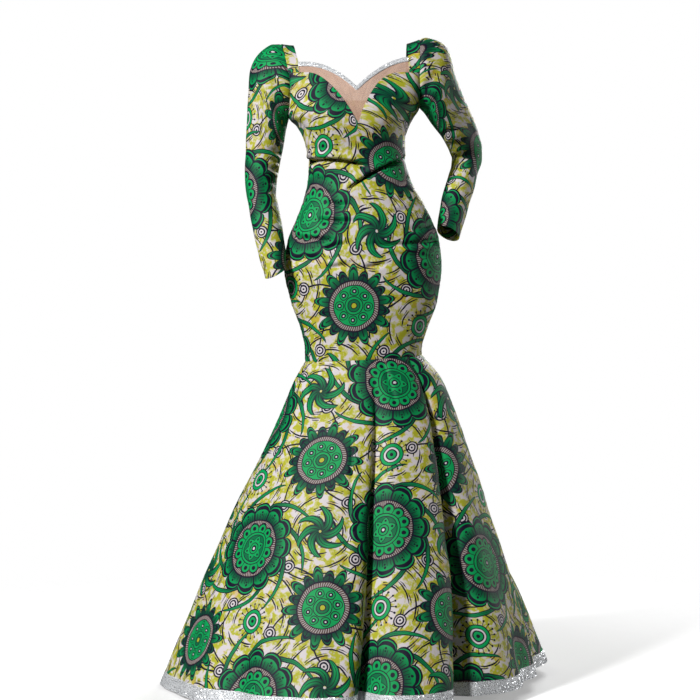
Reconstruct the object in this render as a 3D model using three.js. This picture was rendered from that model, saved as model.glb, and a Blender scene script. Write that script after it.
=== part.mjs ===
import * as THREE from 'three';

// A long mermaid dress in printed cotton, in its worn form with nobody in it.
// Sizes are in millimetres. X runs to the right of a viewer who faces the front, Y to the back, Z up.
// The origin is on the shoulder line, midway between the two shoulders that carry the dress.
// Left and right are a viewer's left and right.

// Walls and seams
const CLOTH_WALL = 1.3;
const MESH_WALL = 1.0;
const TRIM_WALL = 1.6;
const SEAM_GAP = 0.3;
const HALF_GAP = SEAM_GAP / 2;
const SLEEVE_GAP = 1.1;
const ARMHOLE_EASE = 0.6;
const SLOPE_STEP = 1e-4;
const EDGE_PASSES = 12;
const DEGREE = Math.PI / 180;

// Side lines and depths of the body at each height. Above an armpit the armhole takes over the side.
const BODY = [
  { z: -42, left: -152, right: 145, front: 50, back: 74 },
  { z: -75, left: -152, right: 145, front: 68, back: 86 },
  { z: -110, left: -152, right: 145, front: 86, back: 94 },
  { z: -149, left: -153, right: 145, front: 102, back: 96 },
  { z: -172, left: -154, right: 132, front: 107, back: 95 },
  { z: -191, left: -136, right: 122, front: 107, back: 92 },
  { z: -223, left: -119.5, right: 112.5, front: 101, back: 86 },
  { z: -269, left: -108, right: 112.5, front: 88, back: 78 },
  { z: -315, left: -110, right: 125, front: 84, back: 77 },
  { z: -361, left: -120, right: 149, front: 88, back: 85 },
  { z: -407, left: -137, right: 173, front: 94, back: 100 },
  { z: -453, left: -156, right: 190, front: 98, back: 114 },
  { z: -511, left: -165, right: 196, front: 99, back: 122 },
  { z: -591, left: -150, right: 186, front: 96, back: 112 },
  { z: -660, left: -126, right: 162, front: 92, back: 99 },
  { z: -705, left: -116.5, right: 150, front: 90, back: 94 },
  { z: -745, left: -116.5, right: 150, front: 90, back: 94 },
];
const BODY_SQUARENESS = 0.86;

// Each armhole is an upright oval; bow draws its middle in towards the chest.
const ARMHOLES = {
  left: { inward: 1, topX: -172, topZ: -4, bottomX: -154, bottomZ: -172, reach: 56, bow: 11 },
  right: { inward: -1, topX: 145.5, topZ: 6, bottomX: 145, bottomZ: -149, reach: 56, bow: 1 },
};
const ARMHOLE_TURN = 25 * DEGREE;
const ARMHOLE_TURN_HEIGHT = 60;

// Sweetheart edge of the bodice, neck edge of the net above it, and the back neckline.
const SWEETHEART = { lowX: 5, lowZ: -198, shoulderZ: -77 };
const SWEETHEART_SIDES = { left: { span: 115, power: 1.8 }, right: { span: 105, power: 2.8 } };
const NECKLINE = { lowX: 1, lowZ: -117, shoulderZ: -51, slope: 0.05, span: 125, power: 2 };
const BACK_NECK = { shoulderZ: -88, lowZ: -120, halfWidth: 128 };
const TRIM_HEIGHT = 10.5;
const STRAP = { frontWidth: 24, topWidth: 29, backWidth: 27, fall: { left: 0.12, right: 0.33 } };
const STRAP_ON_BODY = { below: -46, above: -24 };

// Bust: two gentle cups in the front panel.
const CUPS = { spacing: 126, z: -190, height: 13, width: 36 };

// Draped pleats of the front panel, each a lip of cloth over a trough, from the side seam inwards.
const PLEATS = [
  { name: 'left', lip: 5.5, path: [[-118, -266], [-60, -271], [-11, -277], [30, -288]] },
  { name: 'right', lip: 5.5, path: [[122, -255], [65, -284], [8, -318], [-31, -347]] },
];
const PLEAT_RISE = 17;
const PLEAT_TROUGH = 11;
const PLEAT_FADE = 34;

// The thigh seam lies in one tilted plane.
const THIGH = { z: -723.6, x: 16, slopeX: 0.056, slopeY: 0.04, sectionZ: -730 };

// Flared skirt from the thigh seam, at 0, to the lower edge of its silver band, at 1.
const FLARE = [
  { down: 0, left: -116.5, right: 150, front: 90, back: 94 },
  { down: 0.065, left: -142, right: 190, front: 112, back: 119 },
  { down: 0.13, left: -162, right: 213, front: 134, back: 142 },
  { down: 0.26, left: -204, right: 248, front: 178, back: 188 },
  { down: 0.45, left: -273, right: 296, front: 244, back: 254 },
  { down: 0.75, left: -369, right: 373, front: 338, back: 348 },
  { down: 1, left: -443, right: 422, front: 418, back: 420 },
];
const HEM = { z: -1448, slopeX: 0.026 };
const BAND_SHARE = 0.036;

// Flutes of the skirt: each row is a furrow between two of them, by its angle from the front centre.
// Before and after are the widths of its two walls, in degrees; start and growth say how it deepens.
const FURROWS = [
  { angle: -160, depth: 36, before: 7.5, after: 5, start: 0.02, growth: 1.25 },
  { angle: -128, depth: 28, before: 4.5, after: 7, start: 0.08, growth: 1.25 },
  { angle: -101, depth: 30, before: 6, after: 5.5, start: 0.1, growth: 1.25 },
  { angle: -66, depth: 9, before: 7, after: 7, start: 0.3, growth: 1.25 },
  { angle: -36, depth: 15, before: 8, after: 6, start: 0.15, growth: 1.25 },
  { angle: -8, depth: 9, before: 4, after: 3.5, start: 0.1, growth: 1.25 },
  { angle: 1.5, depth: 38, before: 4, after: 5.5, start: 0.04, growth: 1.15 },
  { angle: 29, depth: 56, before: 3.8, after: 8, start: 0, growth: 1.05 },
  { angle: 57, depth: 13, before: 6, after: 6, start: 0.3, growth: 1.25 },
  { angle: 88, depth: 22, before: 6, after: 6, start: 0.4, growth: 1.25 },
  { angle: 131, depth: 36, before: 5, after: 7, start: 0.05, growth: 1.25 },
  { angle: 166, depth: 26, before: 6, after: 4.5, start: 0.08, growth: 1.25 },
];
const SWELLS = [
  { angle: -78, depth: 6, before: 10, after: 10, start: 0.3, growth: 1.25 },
  { angle: 19, depth: 8, before: 7, after: 5, start: 0.1, growth: 1.25 },
  { angle: 107, depth: 42, before: 11, after: 11, start: 0.7, growth: 0.7 },
];

// Sleeves by sections from shoulder to cuff. The under point lies on the inside of the arm and the
// over point on its outside; y and reach are the middle and half depth, and tip lifts the back edge.
const SLEEVES = {
  left: [
    { along: 0, underX: -154, underZ: -172, overX: -172, overZ: -4, y: 0, reach: 56, tip: 0, bow: 11 },
    { along: 14, underX: -155.5, underZ: -176, overX: -190, overZ: -4, y: 0, reach: 59, tip: 0, bow: 8 },
    { along: 32, underX: -157, underZ: -182, overX: -211, overZ: -15, y: 0, reach: 60, tip: 0, bow: 4 },
    { along: 55, underX: -159, underZ: -191, overX: -232, overZ: -38, y: 0, reach: 60, tip: 0, bow: 1 },
    { along: 80, underX: -162, underZ: -205, overX: -243, overZ: -70, y: 0, reach: 58, tip: 0, bow: 0 },
    { along: 112, underX: -165, underZ: -223, overX: -247, overZ: -115, y: 1, reach: 54, tip: 0, bow: 0 },
    { along: 150, underX: -169, underZ: -246, overX: -250, overZ: -175, y: 2, reach: 50, tip: 0, bow: 0 },
    { along: 190, underX: -173.5, underZ: -270, overX: -253, overZ: -235, y: 2, reach: 46, tip: 0, bow: 0 },
    { along: 225, underX: -178.5, underZ: -296, overX: -254.5, overZ: -285, y: 0, reach: 43, tip: 0, bow: 0 },
    { along: 255, underX: -183, underZ: -322, overX: -254, overZ: -318, y: -3, reach: 40, tip: 3, bow: 0 },
    { along: 282, underX: -183, underZ: -345, overX: -251, overZ: -345, y: -8, reach: 38, tip: 8, bow: 0 },
    { along: 313, underX: -178, underZ: -375, overX: -245.5, overZ: -378, y: -16, reach: 36, tip: 11, bow: 0 },
    { along: 350, underX: -171.5, underZ: -410, overX: -237.5, overZ: -416, y: -26, reach: 34, tip: 11, bow: 0 },
    { along: 393, underX: -164.5, underZ: -450, overX: -227.5, overZ: -461, y: -40, reach: 32, tip: 10, bow: 0 },
    { along: 433, underX: -160, underZ: -488, overX: -216, overZ: -505, y: -53, reach: 30, tip: 9, bow: 0 },
    { along: 467, underX: -159, underZ: -520, overX: -205, overZ: -542, y: -65, reach: 28, tip: 8, bow: 0 },
  ],
  right: [
    { along: 0, underX: 145, underZ: -149, overX: 145.5, overZ: 6, y: 0, reach: 56, tip: 0, bow: 1 },
    { along: 14, underX: 150, underZ: -154, overX: 160, overZ: 11, y: 1, reach: 59, tip: 0, bow: 0 },
    { along: 34, underX: 157, underZ: -161, overX: 184, overZ: 6, y: 4, reach: 60, tip: 0, bow: 0 },
    { along: 58, underX: 165, underZ: -171, overX: 208, overZ: -10, y: 8, reach: 60, tip: 1, bow: 0 },
    { along: 84, underX: 174, underZ: -183, overX: 220, overZ: -35, y: 14, reach: 58, tip: 3, bow: 0 },
    { along: 118, underX: 185, underZ: -196, overX: 229, overZ: -70, y: 25, reach: 55, tip: 8, bow: 0 },
    { along: 156, underX: 198, underZ: -210, overX: 246, overZ: -110, y: 41, reach: 52, tip: 13, bow: 0 },
    { along: 196, underX: 210, underZ: -226, overX: 267, overZ: -150, y: 61, reach: 49, tip: 16, bow: 0 },
    { along: 236, underX: 220, underZ: -242, overX: 286, overZ: -193, y: 83, reach: 46, tip: 12, bow: 0 },
    { along: 268, underX: 226, underZ: -257, overX: 296, overZ: -230, y: 100, reach: 43, tip: 4, bow: 0 },
    { along: 290, underX: 225, underZ: -273, overX: 296, overZ: -258, y: 105, reach: 41, tip: -4, bow: 0 },
    { along: 318, underX: 218.5, underZ: -296, overX: 286.5, overZ: -291, y: 98, reach: 39, tip: -14, bow: 0 },
    { along: 353, underX: 208.5, underZ: -327, overX: 276, overZ: -330, y: 83, reach: 36, tip: -17, bow: 0 },
    { along: 390, underX: 199.5, underZ: -361, overX: 264, overZ: -367, y: 66, reach: 34, tip: -16, bow: 0 },
    { along: 426, underX: 192.5, underZ: -395, overX: 252.5, overZ: -405, y: 49, reach: 31, tip: -15, bow: 0 },
    { along: 460, underX: 188.5, underZ: -426, overX: 239, overZ: -446, y: 33, reach: 28, tip: -13, bow: 0 },
  ],
};

// How finely each piece is divided
const FRONT_ROWS = [{ to: 0.66, steps: 8 }, { to: 0.87, steps: 10 }, { to: 1, steps: 4 }, { to: 2, steps: 6 }];
const BACK_COLUMNS = 8;
const BACK_ROWS = [{ to: 1, steps: 15 }, { to: 2, steps: 5 }];
const NECK_COLUMNS = 18;
const YOKE_ROWS = 3;
const STRAP_COLUMNS = 2;
const STRAP_ROWS = 12;
const SLEEVE_SIDES = 18;
const SLEEVE_RINGS = 20;
const SKIRT_COLUMNS = 62;
const SKIRT_ROWS = 11;

// Zip at the centre back: slider with its bridge, and the pull that hangs in the bridge.
const SLIDER = { below: 9, length: 11, thick: 2.4, width: 3, bridgeOut: 5.6, bridgeLow: -1.9, bridgeHigh: 3.3, bar: 1 };
const PULL = { thick: 1.2, barHalf: 0.6, windowHalf: 2.1, windowLow: -4.2, neckZ: -5.4, topHalf: 3.4, endHalf: 4.2, endZ: -21 };

const { clamp, lerp, smoothstep } = THREE.MathUtils;

// One column of a table at a place along its key column, on a smooth curve that never overshoots.
function readTable(table, key, column, place) {
  const last = table.length - 1;
  const direction = Math.sign(table[last][key] - table[0][key]);
  let row = 0;
  while (row < last - 1 && (place - table[row + 1][key]) * direction > 0) row += 1;
  const slope = (i) => (table[i + 1][column] - table[i][column]) / (table[i + 1][key] - table[i][key]);
  const tangent = (i) => {
    if (i === 0) return slope(0);
    if (i === last) return slope(last - 1);
    const before = slope(i - 1);
    const after = slope(i);
    return before * after <= 0 ? 0 : (2 * before * after) / (before + after);
  };
  const width = table[row + 1][key] - table[row][key];
  const t = clamp((place - table[row][key]) / width, 0, 1);
  const from = table[row][column];
  const to = table[row + 1][column];
  const ease = t * t * (3 - 2 * t);
  const lift = t * (1 - t) * (1 - t) * tangent(row) - t * t * (1 - t) * tangent(row + 1);
  return from + (to - from) * ease + lift * width;
}

// Even steps between the listed stops.
function steppedShares(start, stops) {
  const shares = [start];
  for (const { to, steps } of stops) {
    const from = shares[shares.length - 1];
    for (let step = 1; step <= steps; step += 1) shares.push(lerp(from, to, step / steps));
  }
  return shares;
}

function evenShares(from, to, steps) {
  return Array.from({ length: steps + 1 }, (_, i) => lerp(from, to, i / steps));
}

// A point of an armhole oval at a turn from its top, negative at the front.
function armholePoint(side, turn, ease) {
  const hole = ARMHOLES[side];
  const share = (1 + Math.cos(turn)) / 2;
  const half = (hole.topZ - hole.bottomZ) / 2 + ease;
  const x = lerp(hole.bottomX, hole.topX, share) + hole.inward * Math.abs(hole.bow) * Math.sin(turn) ** 2;
  const z = (hole.topZ + hole.bottomZ) / 2 + half * Math.cos(turn);
  return new THREE.Vector3(x, (hole.reach + ease) * Math.sin(turn), z);
}

// Where the side of the body runs at a height: the side seam, or above the armpit the armhole's edge.
function sideLine(side, z) {
  const hole = ARMHOLES[side];
  const middle = (hole.topZ + hole.bottomZ) / 2;
  const half = (hole.topZ - hole.bottomZ) / 2 + ARMHOLE_EASE;
  const rise = (z - middle) / half;
  if (rise <= -1) return { x: readTable(BODY, 'z', side, z), reach: 0, turn: 0 };
  const edge = armholePoint(side, Math.acos(Math.min(rise, 1)), ARMHOLE_EASE);
  const turn = ARMHOLE_TURN * smoothstep(z, middle - half, middle - half + ARMHOLE_TURN_HEIGHT);
  return { x: edge.x, reach: edge.y, turn };
}

// The body's surface: across runs from -1 at the left side to 1 at the right, facing is -1 in front.
function bodyPoint(across, z, facing) {
  const left = sideLine('left', z);
  const right = sideLine('right', z);
  const share = (across + 1) / 2;
  const reach = lerp(left.reach, right.reach, share);
  const spread = Math.cos(lerp(left.turn, right.turn, share));
  const rim = Math.sqrt(1 - spread * spread);
  const bulge = Math.max(0, (Math.sqrt(Math.max(0, 1 - (across * spread) ** 2)) - rim) / (1 - rim));
  const depth = readTable(BODY, 'z', facing < 0 ? 'front' : 'back', z);
  const y = facing * (reach + (depth - reach) * bulge ** BODY_SQUARENESS);
  return new THREE.Vector3(lerp(left.x, right.x, share), y, z);
}

// The share of the body's width at an X and a height.
function acrossAt(x, z) {
  const left = sideLine('left', z).x;
  const right = sideLine('right', z).x;
  return clamp((2 * (x - left)) / (right - left) - 1, -1, 1);
}

function bodyPointAtX(x, z, facing) {
  return bodyPoint(acrossAt(x, z), z, facing);
}

function sweetheartZ(x) {
  const { span, power } = x < SWEETHEART.lowX ? SWEETHEART_SIDES.left : SWEETHEART_SIDES.right;
  const share = Math.max(0, 1 - Math.abs(x - SWEETHEART.lowX) / span);
  return lerp(SWEETHEART.shoulderZ, SWEETHEART.lowZ, share ** power);
}

function necklineZ(x) {
  const share = Math.max(0, 1 - Math.abs(x - NECKLINE.lowX) / NECKLINE.span);
  return lerp(NECKLINE.shoulderZ + NECKLINE.slope * x, NECKLINE.lowZ, share ** NECKLINE.power);
}

// How far up from an armpit, at 0, to a top edge, at 1, a row stands; rows keep even turns of the armholes.
function armholeRise(across, topZ, level) {
  const rise = (side) => {
    const hole = ARMHOLES[side];
    const middle = (hole.topZ + hole.bottomZ) / 2;
    const half = (hole.topZ - hole.bottomZ) / 2 + ARMHOLE_EASE;
    const topTurn = Math.acos((topZ - middle) / half);
    const z = middle + half * Math.cos(lerp(Math.PI, topTurn, level));
    return (z - middle + half) / (topZ - middle + half);
  };
  return lerp(rise('left'), rise('right'), (across + 1) / 2);
}

// Height of the bodice's top edge at a share of the width, found by narrowing in on its X.
function bodiceEdgeZ(across) {
  let z = SWEETHEART.shoulderZ;
  for (let pass = 0; pass < EDGE_PASSES; pass += 1) z = sweetheartZ(bodyPoint(across, z, -1).x);
  return z;
}

function backNeckZ(x) {
  return lerp(BACK_NECK.lowZ, BACK_NECK.shoulderZ, Math.min(1, Math.abs(x) / BACK_NECK.halfWidth) ** 2);
}

function thighZ(point) {
  return THIGH.z + THIGH.slopeX * (point.x - THIGH.x) + THIGH.slopeY * point.y;
}

// How far the cloth stands out over the cups.
function cupHeight(x, z) {
  const middle = (readTable(BODY, 'z', 'left', z) + readTable(BODY, 'z', 'right', z)) / 2;
  const fall = (cup) => (x - middle - (cup * CUPS.spacing) / 2) ** 2 + (z - CUPS.z) ** 2;
  const one = (cup) => Math.exp(-fall(cup) / (2 * CUPS.width ** 2));
  return CUPS.height * (one(-1) + one(1));
}

// How far a pleat lifts or sinks the cloth: a lip above its line that drops into a trough below it.
function pleatHeight(pleat, x, z) {
  const points = pleat.path.map(([px, pz]) => ({ x: px, z: pz }));
  const first = points[0];
  const last = points[points.length - 1];
  const run = Math.sign(last.x - first.x);
  const lineZ = readTable(points, 'x', 'z', x);
  const inside = smoothstep((x - first.x) * run, 0, PLEAT_FADE) * smoothstep((last.x - x) * run, 0, PLEAT_FADE);
  const above = z - lineZ;
  const lip = Math.exp(-Math.max(above, 0) / PLEAT_RISE) * smoothstep(above, -PLEAT_TROUGH / 2, PLEAT_TROUGH / 2);
  const trough = 0.5 * Math.exp(-((above + PLEAT_TROUGH / 2) ** 2) / (PLEAT_TROUGH / 2) ** 2);
  return pleat.lip * inside * (lip - trough);
}

// The skirt's plain section at an angle from the front centre and a share of the way down.
function skirtSection(angle, down) {
  const left = readTable(FLARE, 'down', 'left', down);
  const right = readTable(FLARE, 'down', 'right', down);
  const facing = Math.cos(angle) >= 0 ? 'front' : 'back';
  const depth = readTable(FLARE, 'down', facing, down);
  const squareness = lerp(BODY_SQUARENESS, 1, smoothstep(down, 0, 0.5));
  const bulge = Math.sign(Math.cos(angle)) * Math.abs(Math.cos(angle)) ** squareness;
  const x = (left + right) / 2 + ((right - left) / 2) * Math.sin(angle);
  return new THREE.Vector3(x, -depth * bulge, 0);
}

// Sum of the furrows or swells of a table at an angle, growing down the skirt.
function fluteDepth(table, angle, down) {
  return table.reduce((sum, { angle: at, depth, before, after, start, growth }) => {
    const apart = Math.atan2(Math.sin(angle - at * DEGREE), Math.cos(angle - at * DEGREE)) / DEGREE;
    const width = apart < 0 ? before : after;
    const grown = clamp((down - start) / (1 - start), 0, 1) ** growth;
    return sum + depth * grown * Math.exp(-(apart ** 2) / (2 * width ** 2));
  }, 0);
}

function skirtPoint(angle, down) {
  const top = skirtSection(angle, 0);
  const point = skirtSection(angle, down);
  point.z = lerp(thighZ(top) - SEAM_GAP, HEM.z + HEM.slopeX * point.x, down);
  const inward = fluteDepth(FURROWS, angle, down) - fluteDepth(SWELLS, angle, down);
  point.x -= inward * Math.sin(angle);
  point.y += inward * Math.cos(angle);
  return point;
}

// A sleeve's section at a length along the arm, at a turn from its outside towards the back.
function sleevePoint(side, along, turn) {
  const read = (column) => readTable(SLEEVES[side], 'along', column, along);
  const share = (1 + Math.cos(turn)) / 2;
  const bow = ARMHOLES[side].inward * read('bow') * Math.sin(turn) ** 2;
  const x = lerp(read('underX'), read('overX'), share) + bow - ARMHOLES[side].inward * SLEEVE_GAP;
  const y = read('y') + read('reach') * Math.sin(turn);
  const z = lerp(read('underZ'), read('overZ'), share) + read('tip') * Math.sin(turn);
  return new THREE.Vector3(x, y, z);
}

// A closed wall of even thickness around a surface. place gives the surface from two values, columns
// and rows list them, and ring joins the last column to the first. rims gives the rows whose edge face
// stands square to an axis, so that the piece meets its neighbour there face to face.
function clothWall(place, columns, rows, thickness, { ring = false, rims = {} } = {}) {
  const columnCount = columns.length;
  const rowCount = rows.length;
  const lowest = [columns[0], rows[0]];
  const highest = [columns[columnCount - 1], rows[rowCount - 1]];
  const slopeAlong = (u, v, du, dv) => {
    const inRange = (value, axis) => (ring && axis === 0 ? value : clamp(value, lowest[axis], highest[axis]));
    const ahead = place(inRange(u + du, 0), inRange(v + dv, 1));
    return ahead.sub(place(inRange(u - du, 0), inRange(v - dv, 1)));
  };
  const positions = [];
  const offsetPoints = (sign) => {
    rows.forEach((v, row) => columns.forEach((u) => {
      const normal = slopeAlong(u, v, SLOPE_STEP, 0).cross(slopeAlong(u, v, 0, SLOPE_STEP));
      if (rims[row]) normal[rims[row]] = 0;
      const point = place(u, v).addScaledVector(normal.normalize(), (sign * thickness) / 2);
      positions.push(point.x, point.y, point.z);
    }));
  };
  offsetPoints(1);
  offsetPoints(-1);

  const inner = columnCount * rowCount;
  const indices = [];
  const quad = (a, b, c, d) => indices.push(a, b, c, a, c, d);
  const columnSpans = ring ? columnCount : columnCount - 1;
  for (let row = 0; row < rowCount - 1; row += 1) {
    for (let column = 0; column < columnSpans; column += 1) {
      const next = (column + 1) % columnCount;
      const low = row * columnCount;
      const high = low + columnCount;
      quad(low + column, low + next, high + next, high + column);
      quad(inner + low + next, inner + low + column, inner + high + column, inner + high + next);
    }
  }
  const top = (rowCount - 1) * columnCount;
  for (let column = 0; column < columnSpans; column += 1) {
    const next = (column + 1) % columnCount;
    quad(column, inner + column, inner + next, next);
    quad(top + next, inner + top + next, inner + top + column, top + column);
  }
  if (!ring) {
    for (let row = 0; row < rowCount - 1; row += 1) {
      const low = row * columnCount;
      const high = low + columnCount;
      const end = columnCount - 1;
      quad(high, inner + high, inner + low, low);
      quad(low + end, inner + low + end, inner + high + end, high + end);
    }
  }
  const geometry = new THREE.BufferGeometry();
  geometry.setAttribute('position', new THREE.Float32BufferAttribute(positions, 3));
  geometry.setIndex(indices);
  geometry.computeVertexNormals();
  return geometry;
}

// Width of a strap at a height on the front or back of the shoulder.
function strapWidth(side, z, facing) {
  const top = ARMHOLES[side].topZ;
  const endZ = facing < 0 ? SWEETHEART.shoulderZ : BACK_NECK.shoulderZ;
  const endWidth = facing < 0 ? STRAP.frontWidth : STRAP.backWidth;
  return lerp(endWidth, STRAP.topWidth, clamp((z - endZ) / (top - endZ), 0, 1));
}

// X of the edge where a strap meets the net of the neck.
function neckEdgeX(side, z) {
  return sideLine(side, z).x + ARMHOLES[side].inward * (strapWidth(side, z, -1) + SEAM_GAP);
}

// Columns of the front: some under each strap, the rest shared with the net, with one at the low point.
function columnShare(x, z) {
  return Math.asin(acrossAt(x, z)) / (Math.PI / 2);
}
const NECK_LEFT = columnShare(neckEdgeX('left', SWEETHEART.shoulderZ), SWEETHEART.shoulderZ);
const NECK_RIGHT = columnShare(neckEdgeX('right', SWEETHEART.shoulderZ), SWEETHEART.shoulderZ);
const NECK_LOW = columnShare(SWEETHEART.lowX, SWEETHEART.lowZ);
const NECK_STOPS = [{ to: NECK_LOW, steps: NECK_COLUMNS / 2 }, { to: NECK_RIGHT, steps: NECK_COLUMNS / 2 }];
const NECK_SHARES = steppedShares(NECK_LEFT, NECK_STOPS);
const STRAP_STOPS = { left: { to: NECK_LEFT, steps: STRAP_COLUMNS }, right: { to: 1, steps: STRAP_COLUMNS } };
const FRONT_SHARES = steppedShares(-1, [STRAP_STOPS.left, ...NECK_STOPS, STRAP_STOPS.right]);

// Front panel: from the thigh seam up over the bust to the sweetheart edge, with cups and pleats.
function frontPanel() {
  const place = (share, level) => {
    const across = Math.sin((share * Math.PI) / 2);
    const armpits = lerp(ARMHOLES.left.bottomZ, ARMHOLES.right.bottomZ, (across + 1) / 2) - ARMHOLE_EASE;
    const bustLine = armpits - 62 * (1 - across * across);
    const bottom = thighZ(bodyPoint(across, THIGH.sectionZ, -1));
    const rise = level > 1 ? armholeRise(across, SWEETHEART.shoulderZ, level - 1) : 0;
    const z = level > 1 ? lerp(bustLine, bodiceEdgeZ(across), rise) : lerp(bottom, bustLine, level);
    const point = bodyPoint(across, z, -1);
    const relief = PLEATS.reduce((sum, pleat) => sum + pleatHeight(pleat, point.x, z), cupHeight(point.x, z));
    const fade = smoothstep(1 - Math.abs(across), 0, 0.04);
    point.y -= relief * fade + HALF_GAP;
    return point;
  };
  return clothWall(place, FRONT_SHARES, steppedShares(0, FRONT_ROWS), CLOTH_WALL, { rims: { 0: 'z' } });
}

// One half of the back, from the centre seam to its side seam and armhole.
function backPanel(side) {
  const outward = side === 'left' ? -1 : 1;
  const place = (share, level) => {
    const across = -Math.sin((share * Math.PI) / 2);
    const armpits = lerp(ARMHOLES.left.bottomZ, ARMHOLES.right.bottomZ, (across + 1) / 2) - ARMHOLE_EASE;
    const shoulderLine = armpits - 40 * (1 - across * across);
    const bottom = thighZ(bodyPoint(across, THIGH.sectionZ, 1));
    const edge = backNeckZ(bodyPoint(across, BACK_NECK.shoulderZ, 1).x);
    const rise = level > 1 ? armholeRise(across, BACK_NECK.shoulderZ, level - 1) : 0;
    const z = level > 1 ? lerp(shoulderLine, edge, rise) : lerp(bottom, shoulderLine, level);
    const point = bodyPoint(across, z, 1);
    point.y += HALF_GAP;
    point.x += outward * HALF_GAP;
    return point;
  };
  const columns = side === 'left' ? evenShares(0, 1, BACK_COLUMNS) : evenShares(-1, 0, BACK_COLUMNS);
  return clothWall(place, columns, steppedShares(0, BACK_ROWS), CLOTH_WALL, { rims: { 0: 'z' } });
}

// Shoulder strap over the top of an armhole, from the bodice in front to the back panel.
function shoulderStrap(side) {
  const hole = ARMHOLES[side];
  const middle = (hole.topZ + hole.bottomZ) / 2;
  const half = (hole.topZ - hole.bottomZ) / 2 + ARMHOLE_EASE;
  const frontTurn = -Math.acos((SWEETHEART.shoulderZ + SEAM_GAP - middle) / half);
  const backTurn = Math.acos((BACK_NECK.shoulderZ + SEAM_GAP - middle) / half);
  const place = (width, over) => {
    const turn = lerp(frontTurn, backTurn, over);
    const facing = turn < 0 ? -1 : 1;
    const edge = armholePoint(side, turn, ARMHOLE_EASE);
    const offset = width * (strapWidth(side, edge.z, facing) - HALF_GAP);
    const x = edge.x + hole.inward * offset;
    const onBody = bodyPointAtX(x, edge.z, facing);
    const bodyShare = 1 - smoothstep(edge.z, STRAP_ON_BODY.below, STRAP_ON_BODY.above);
    const y = lerp(edge.y, onBody.y + facing * HALF_GAP, bodyShare);
    return new THREE.Vector3(x, y, edge.z - STRAP.fall[side] * offset * (1 - bodyShare));
  };
  return clothWall(place, evenShares(0, 1, STRAP_COLUMNS), evenShares(0, 1, STRAP_ROWS), CLOTH_WALL);
}

// The net of the neck between the straps. heightAt gives the height over X, above the bodice's edge.
function neckPoint(share, heightAt) {
  const across = Math.sin((share * Math.PI) / 2);
  const edgeZ = bodiceEdgeZ(across);
  const low = { left: neckEdgeX('left', SWEETHEART.shoulderZ), right: neckEdgeX('right', SWEETHEART.shoulderZ) };
  const between = (bodyPoint(across, edgeZ, -1).x - low.left) / (low.right - low.left);
  const left = neckEdgeX('left', heightAt(low.left, SWEETHEART.shoulderZ));
  const right = neckEdgeX('right', heightAt(low.right, SWEETHEART.shoulderZ));
  const x = lerp(left, right, between);
  const z = heightAt(x, edgeZ);
  const point = bodyPointAtX(x, z, -1);
  point.y -= HALF_GAP + cupHeight(x, z);
  return point;
}

const trimLowZ = (x) => necklineZ(x) - TRIM_HEIGHT / 2;

function meshYoke() {
  const heightAt = (up) => (x, edgeZ) => lerp(edgeZ + 2 * SEAM_GAP, trimLowZ(x) - SEAM_GAP, up);
  const rows = evenShares(0, 1, YOKE_ROWS);
  return clothWall((share, up) => neckPoint(share, heightAt(up)), NECK_SHARES, rows, MESH_WALL);
}

function neckTrim() {
  const heightAt = (up) => (x) => trimLowZ(x) + TRIM_HEIGHT * up;
  return clothWall((share, up) => neckPoint(share, heightAt(up)), NECK_SHARES, [0, 1], TRIM_WALL);
}

function sleeve(side) {
  const table = SLEEVES[side];
  const length = table[table.length - 1].along;
  const turns = evenShares(0, 2 * Math.PI, SLEEVE_SIDES).slice(0, SLEEVE_SIDES);
  const rings = evenShares(0, 1, SLEEVE_RINGS).map((share) => length * share ** 1.2);
  const place = (turn, along) => sleevePoint(side, along, turn);
  return clothWall(place, turns, rings, CLOTH_WALL, { ring: true, rims: { 0: 'x' } });
}

// Front or back half of the flared skirt; the side seams lie at a quarter turn.
function skirtHalf(facing) {
  const middle = facing < 0 ? 0 : Math.PI;
  const columns = evenShares(middle - Math.PI / 2, middle + Math.PI / 2, SKIRT_COLUMNS);
  const place = (angle, up) => {
    const point = skirtPoint(angle, 1 - up);
    point.y += facing * HALF_GAP;
    return point;
  };
  const rows = evenShares(BAND_SHARE, 1, SKIRT_ROWS);
  return clothWall(place, columns, rows, CLOTH_WALL, { rims: { [SKIRT_ROWS]: 'z' } });
}

function hemBand() {
  const gapShare = SEAM_GAP / (THIGH.z - HEM.z);
  const angles = evenShares(-Math.PI / 2, 1.5 * Math.PI, 2 * SKIRT_COLUMNS).slice(0, 2 * SKIRT_COLUMNS);
  const rows = [0, BAND_SHARE - gapShare];
  return clothWall((angle, up) => skirtPoint(angle, 1 - up), angles, rows, TRIM_WALL, { ring: true });
}

// Side profile of the slider and its bridge, drawn outwards from the cloth and upwards.
function zipSlider() {
  const half = SLIDER.length / 2;
  const outline = new THREE.Shape();
  outline.moveTo(0, -half);
  outline.lineTo(SLIDER.thick, -half);
  outline.lineTo(SLIDER.thick, SLIDER.bridgeLow);
  outline.lineTo(SLIDER.bridgeOut, SLIDER.bridgeLow);
  outline.lineTo(SLIDER.bridgeOut, SLIDER.bridgeHigh);
  outline.lineTo(SLIDER.thick, SLIDER.bridgeHigh);
  outline.lineTo(SLIDER.thick, half);
  outline.lineTo(0, half);
  const opening = new THREE.Path();
  opening.moveTo(SLIDER.thick, SLIDER.bridgeLow + SLIDER.bar);
  opening.lineTo(SLIDER.thick, SLIDER.bridgeHigh - SLIDER.bar);
  opening.lineTo(SLIDER.bridgeOut - SLIDER.bar, SLIDER.bridgeHigh - SLIDER.bar);
  opening.lineTo(SLIDER.bridgeOut - SLIDER.bar, SLIDER.bridgeLow + SLIDER.bar);
  outline.holes.push(opening);
  const geometry = new THREE.ExtrudeGeometry(outline, { depth: SLIDER.width, bevelEnabled: false });
  return geometry.translate(0, 0, -SLIDER.width / 2);
}

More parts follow.
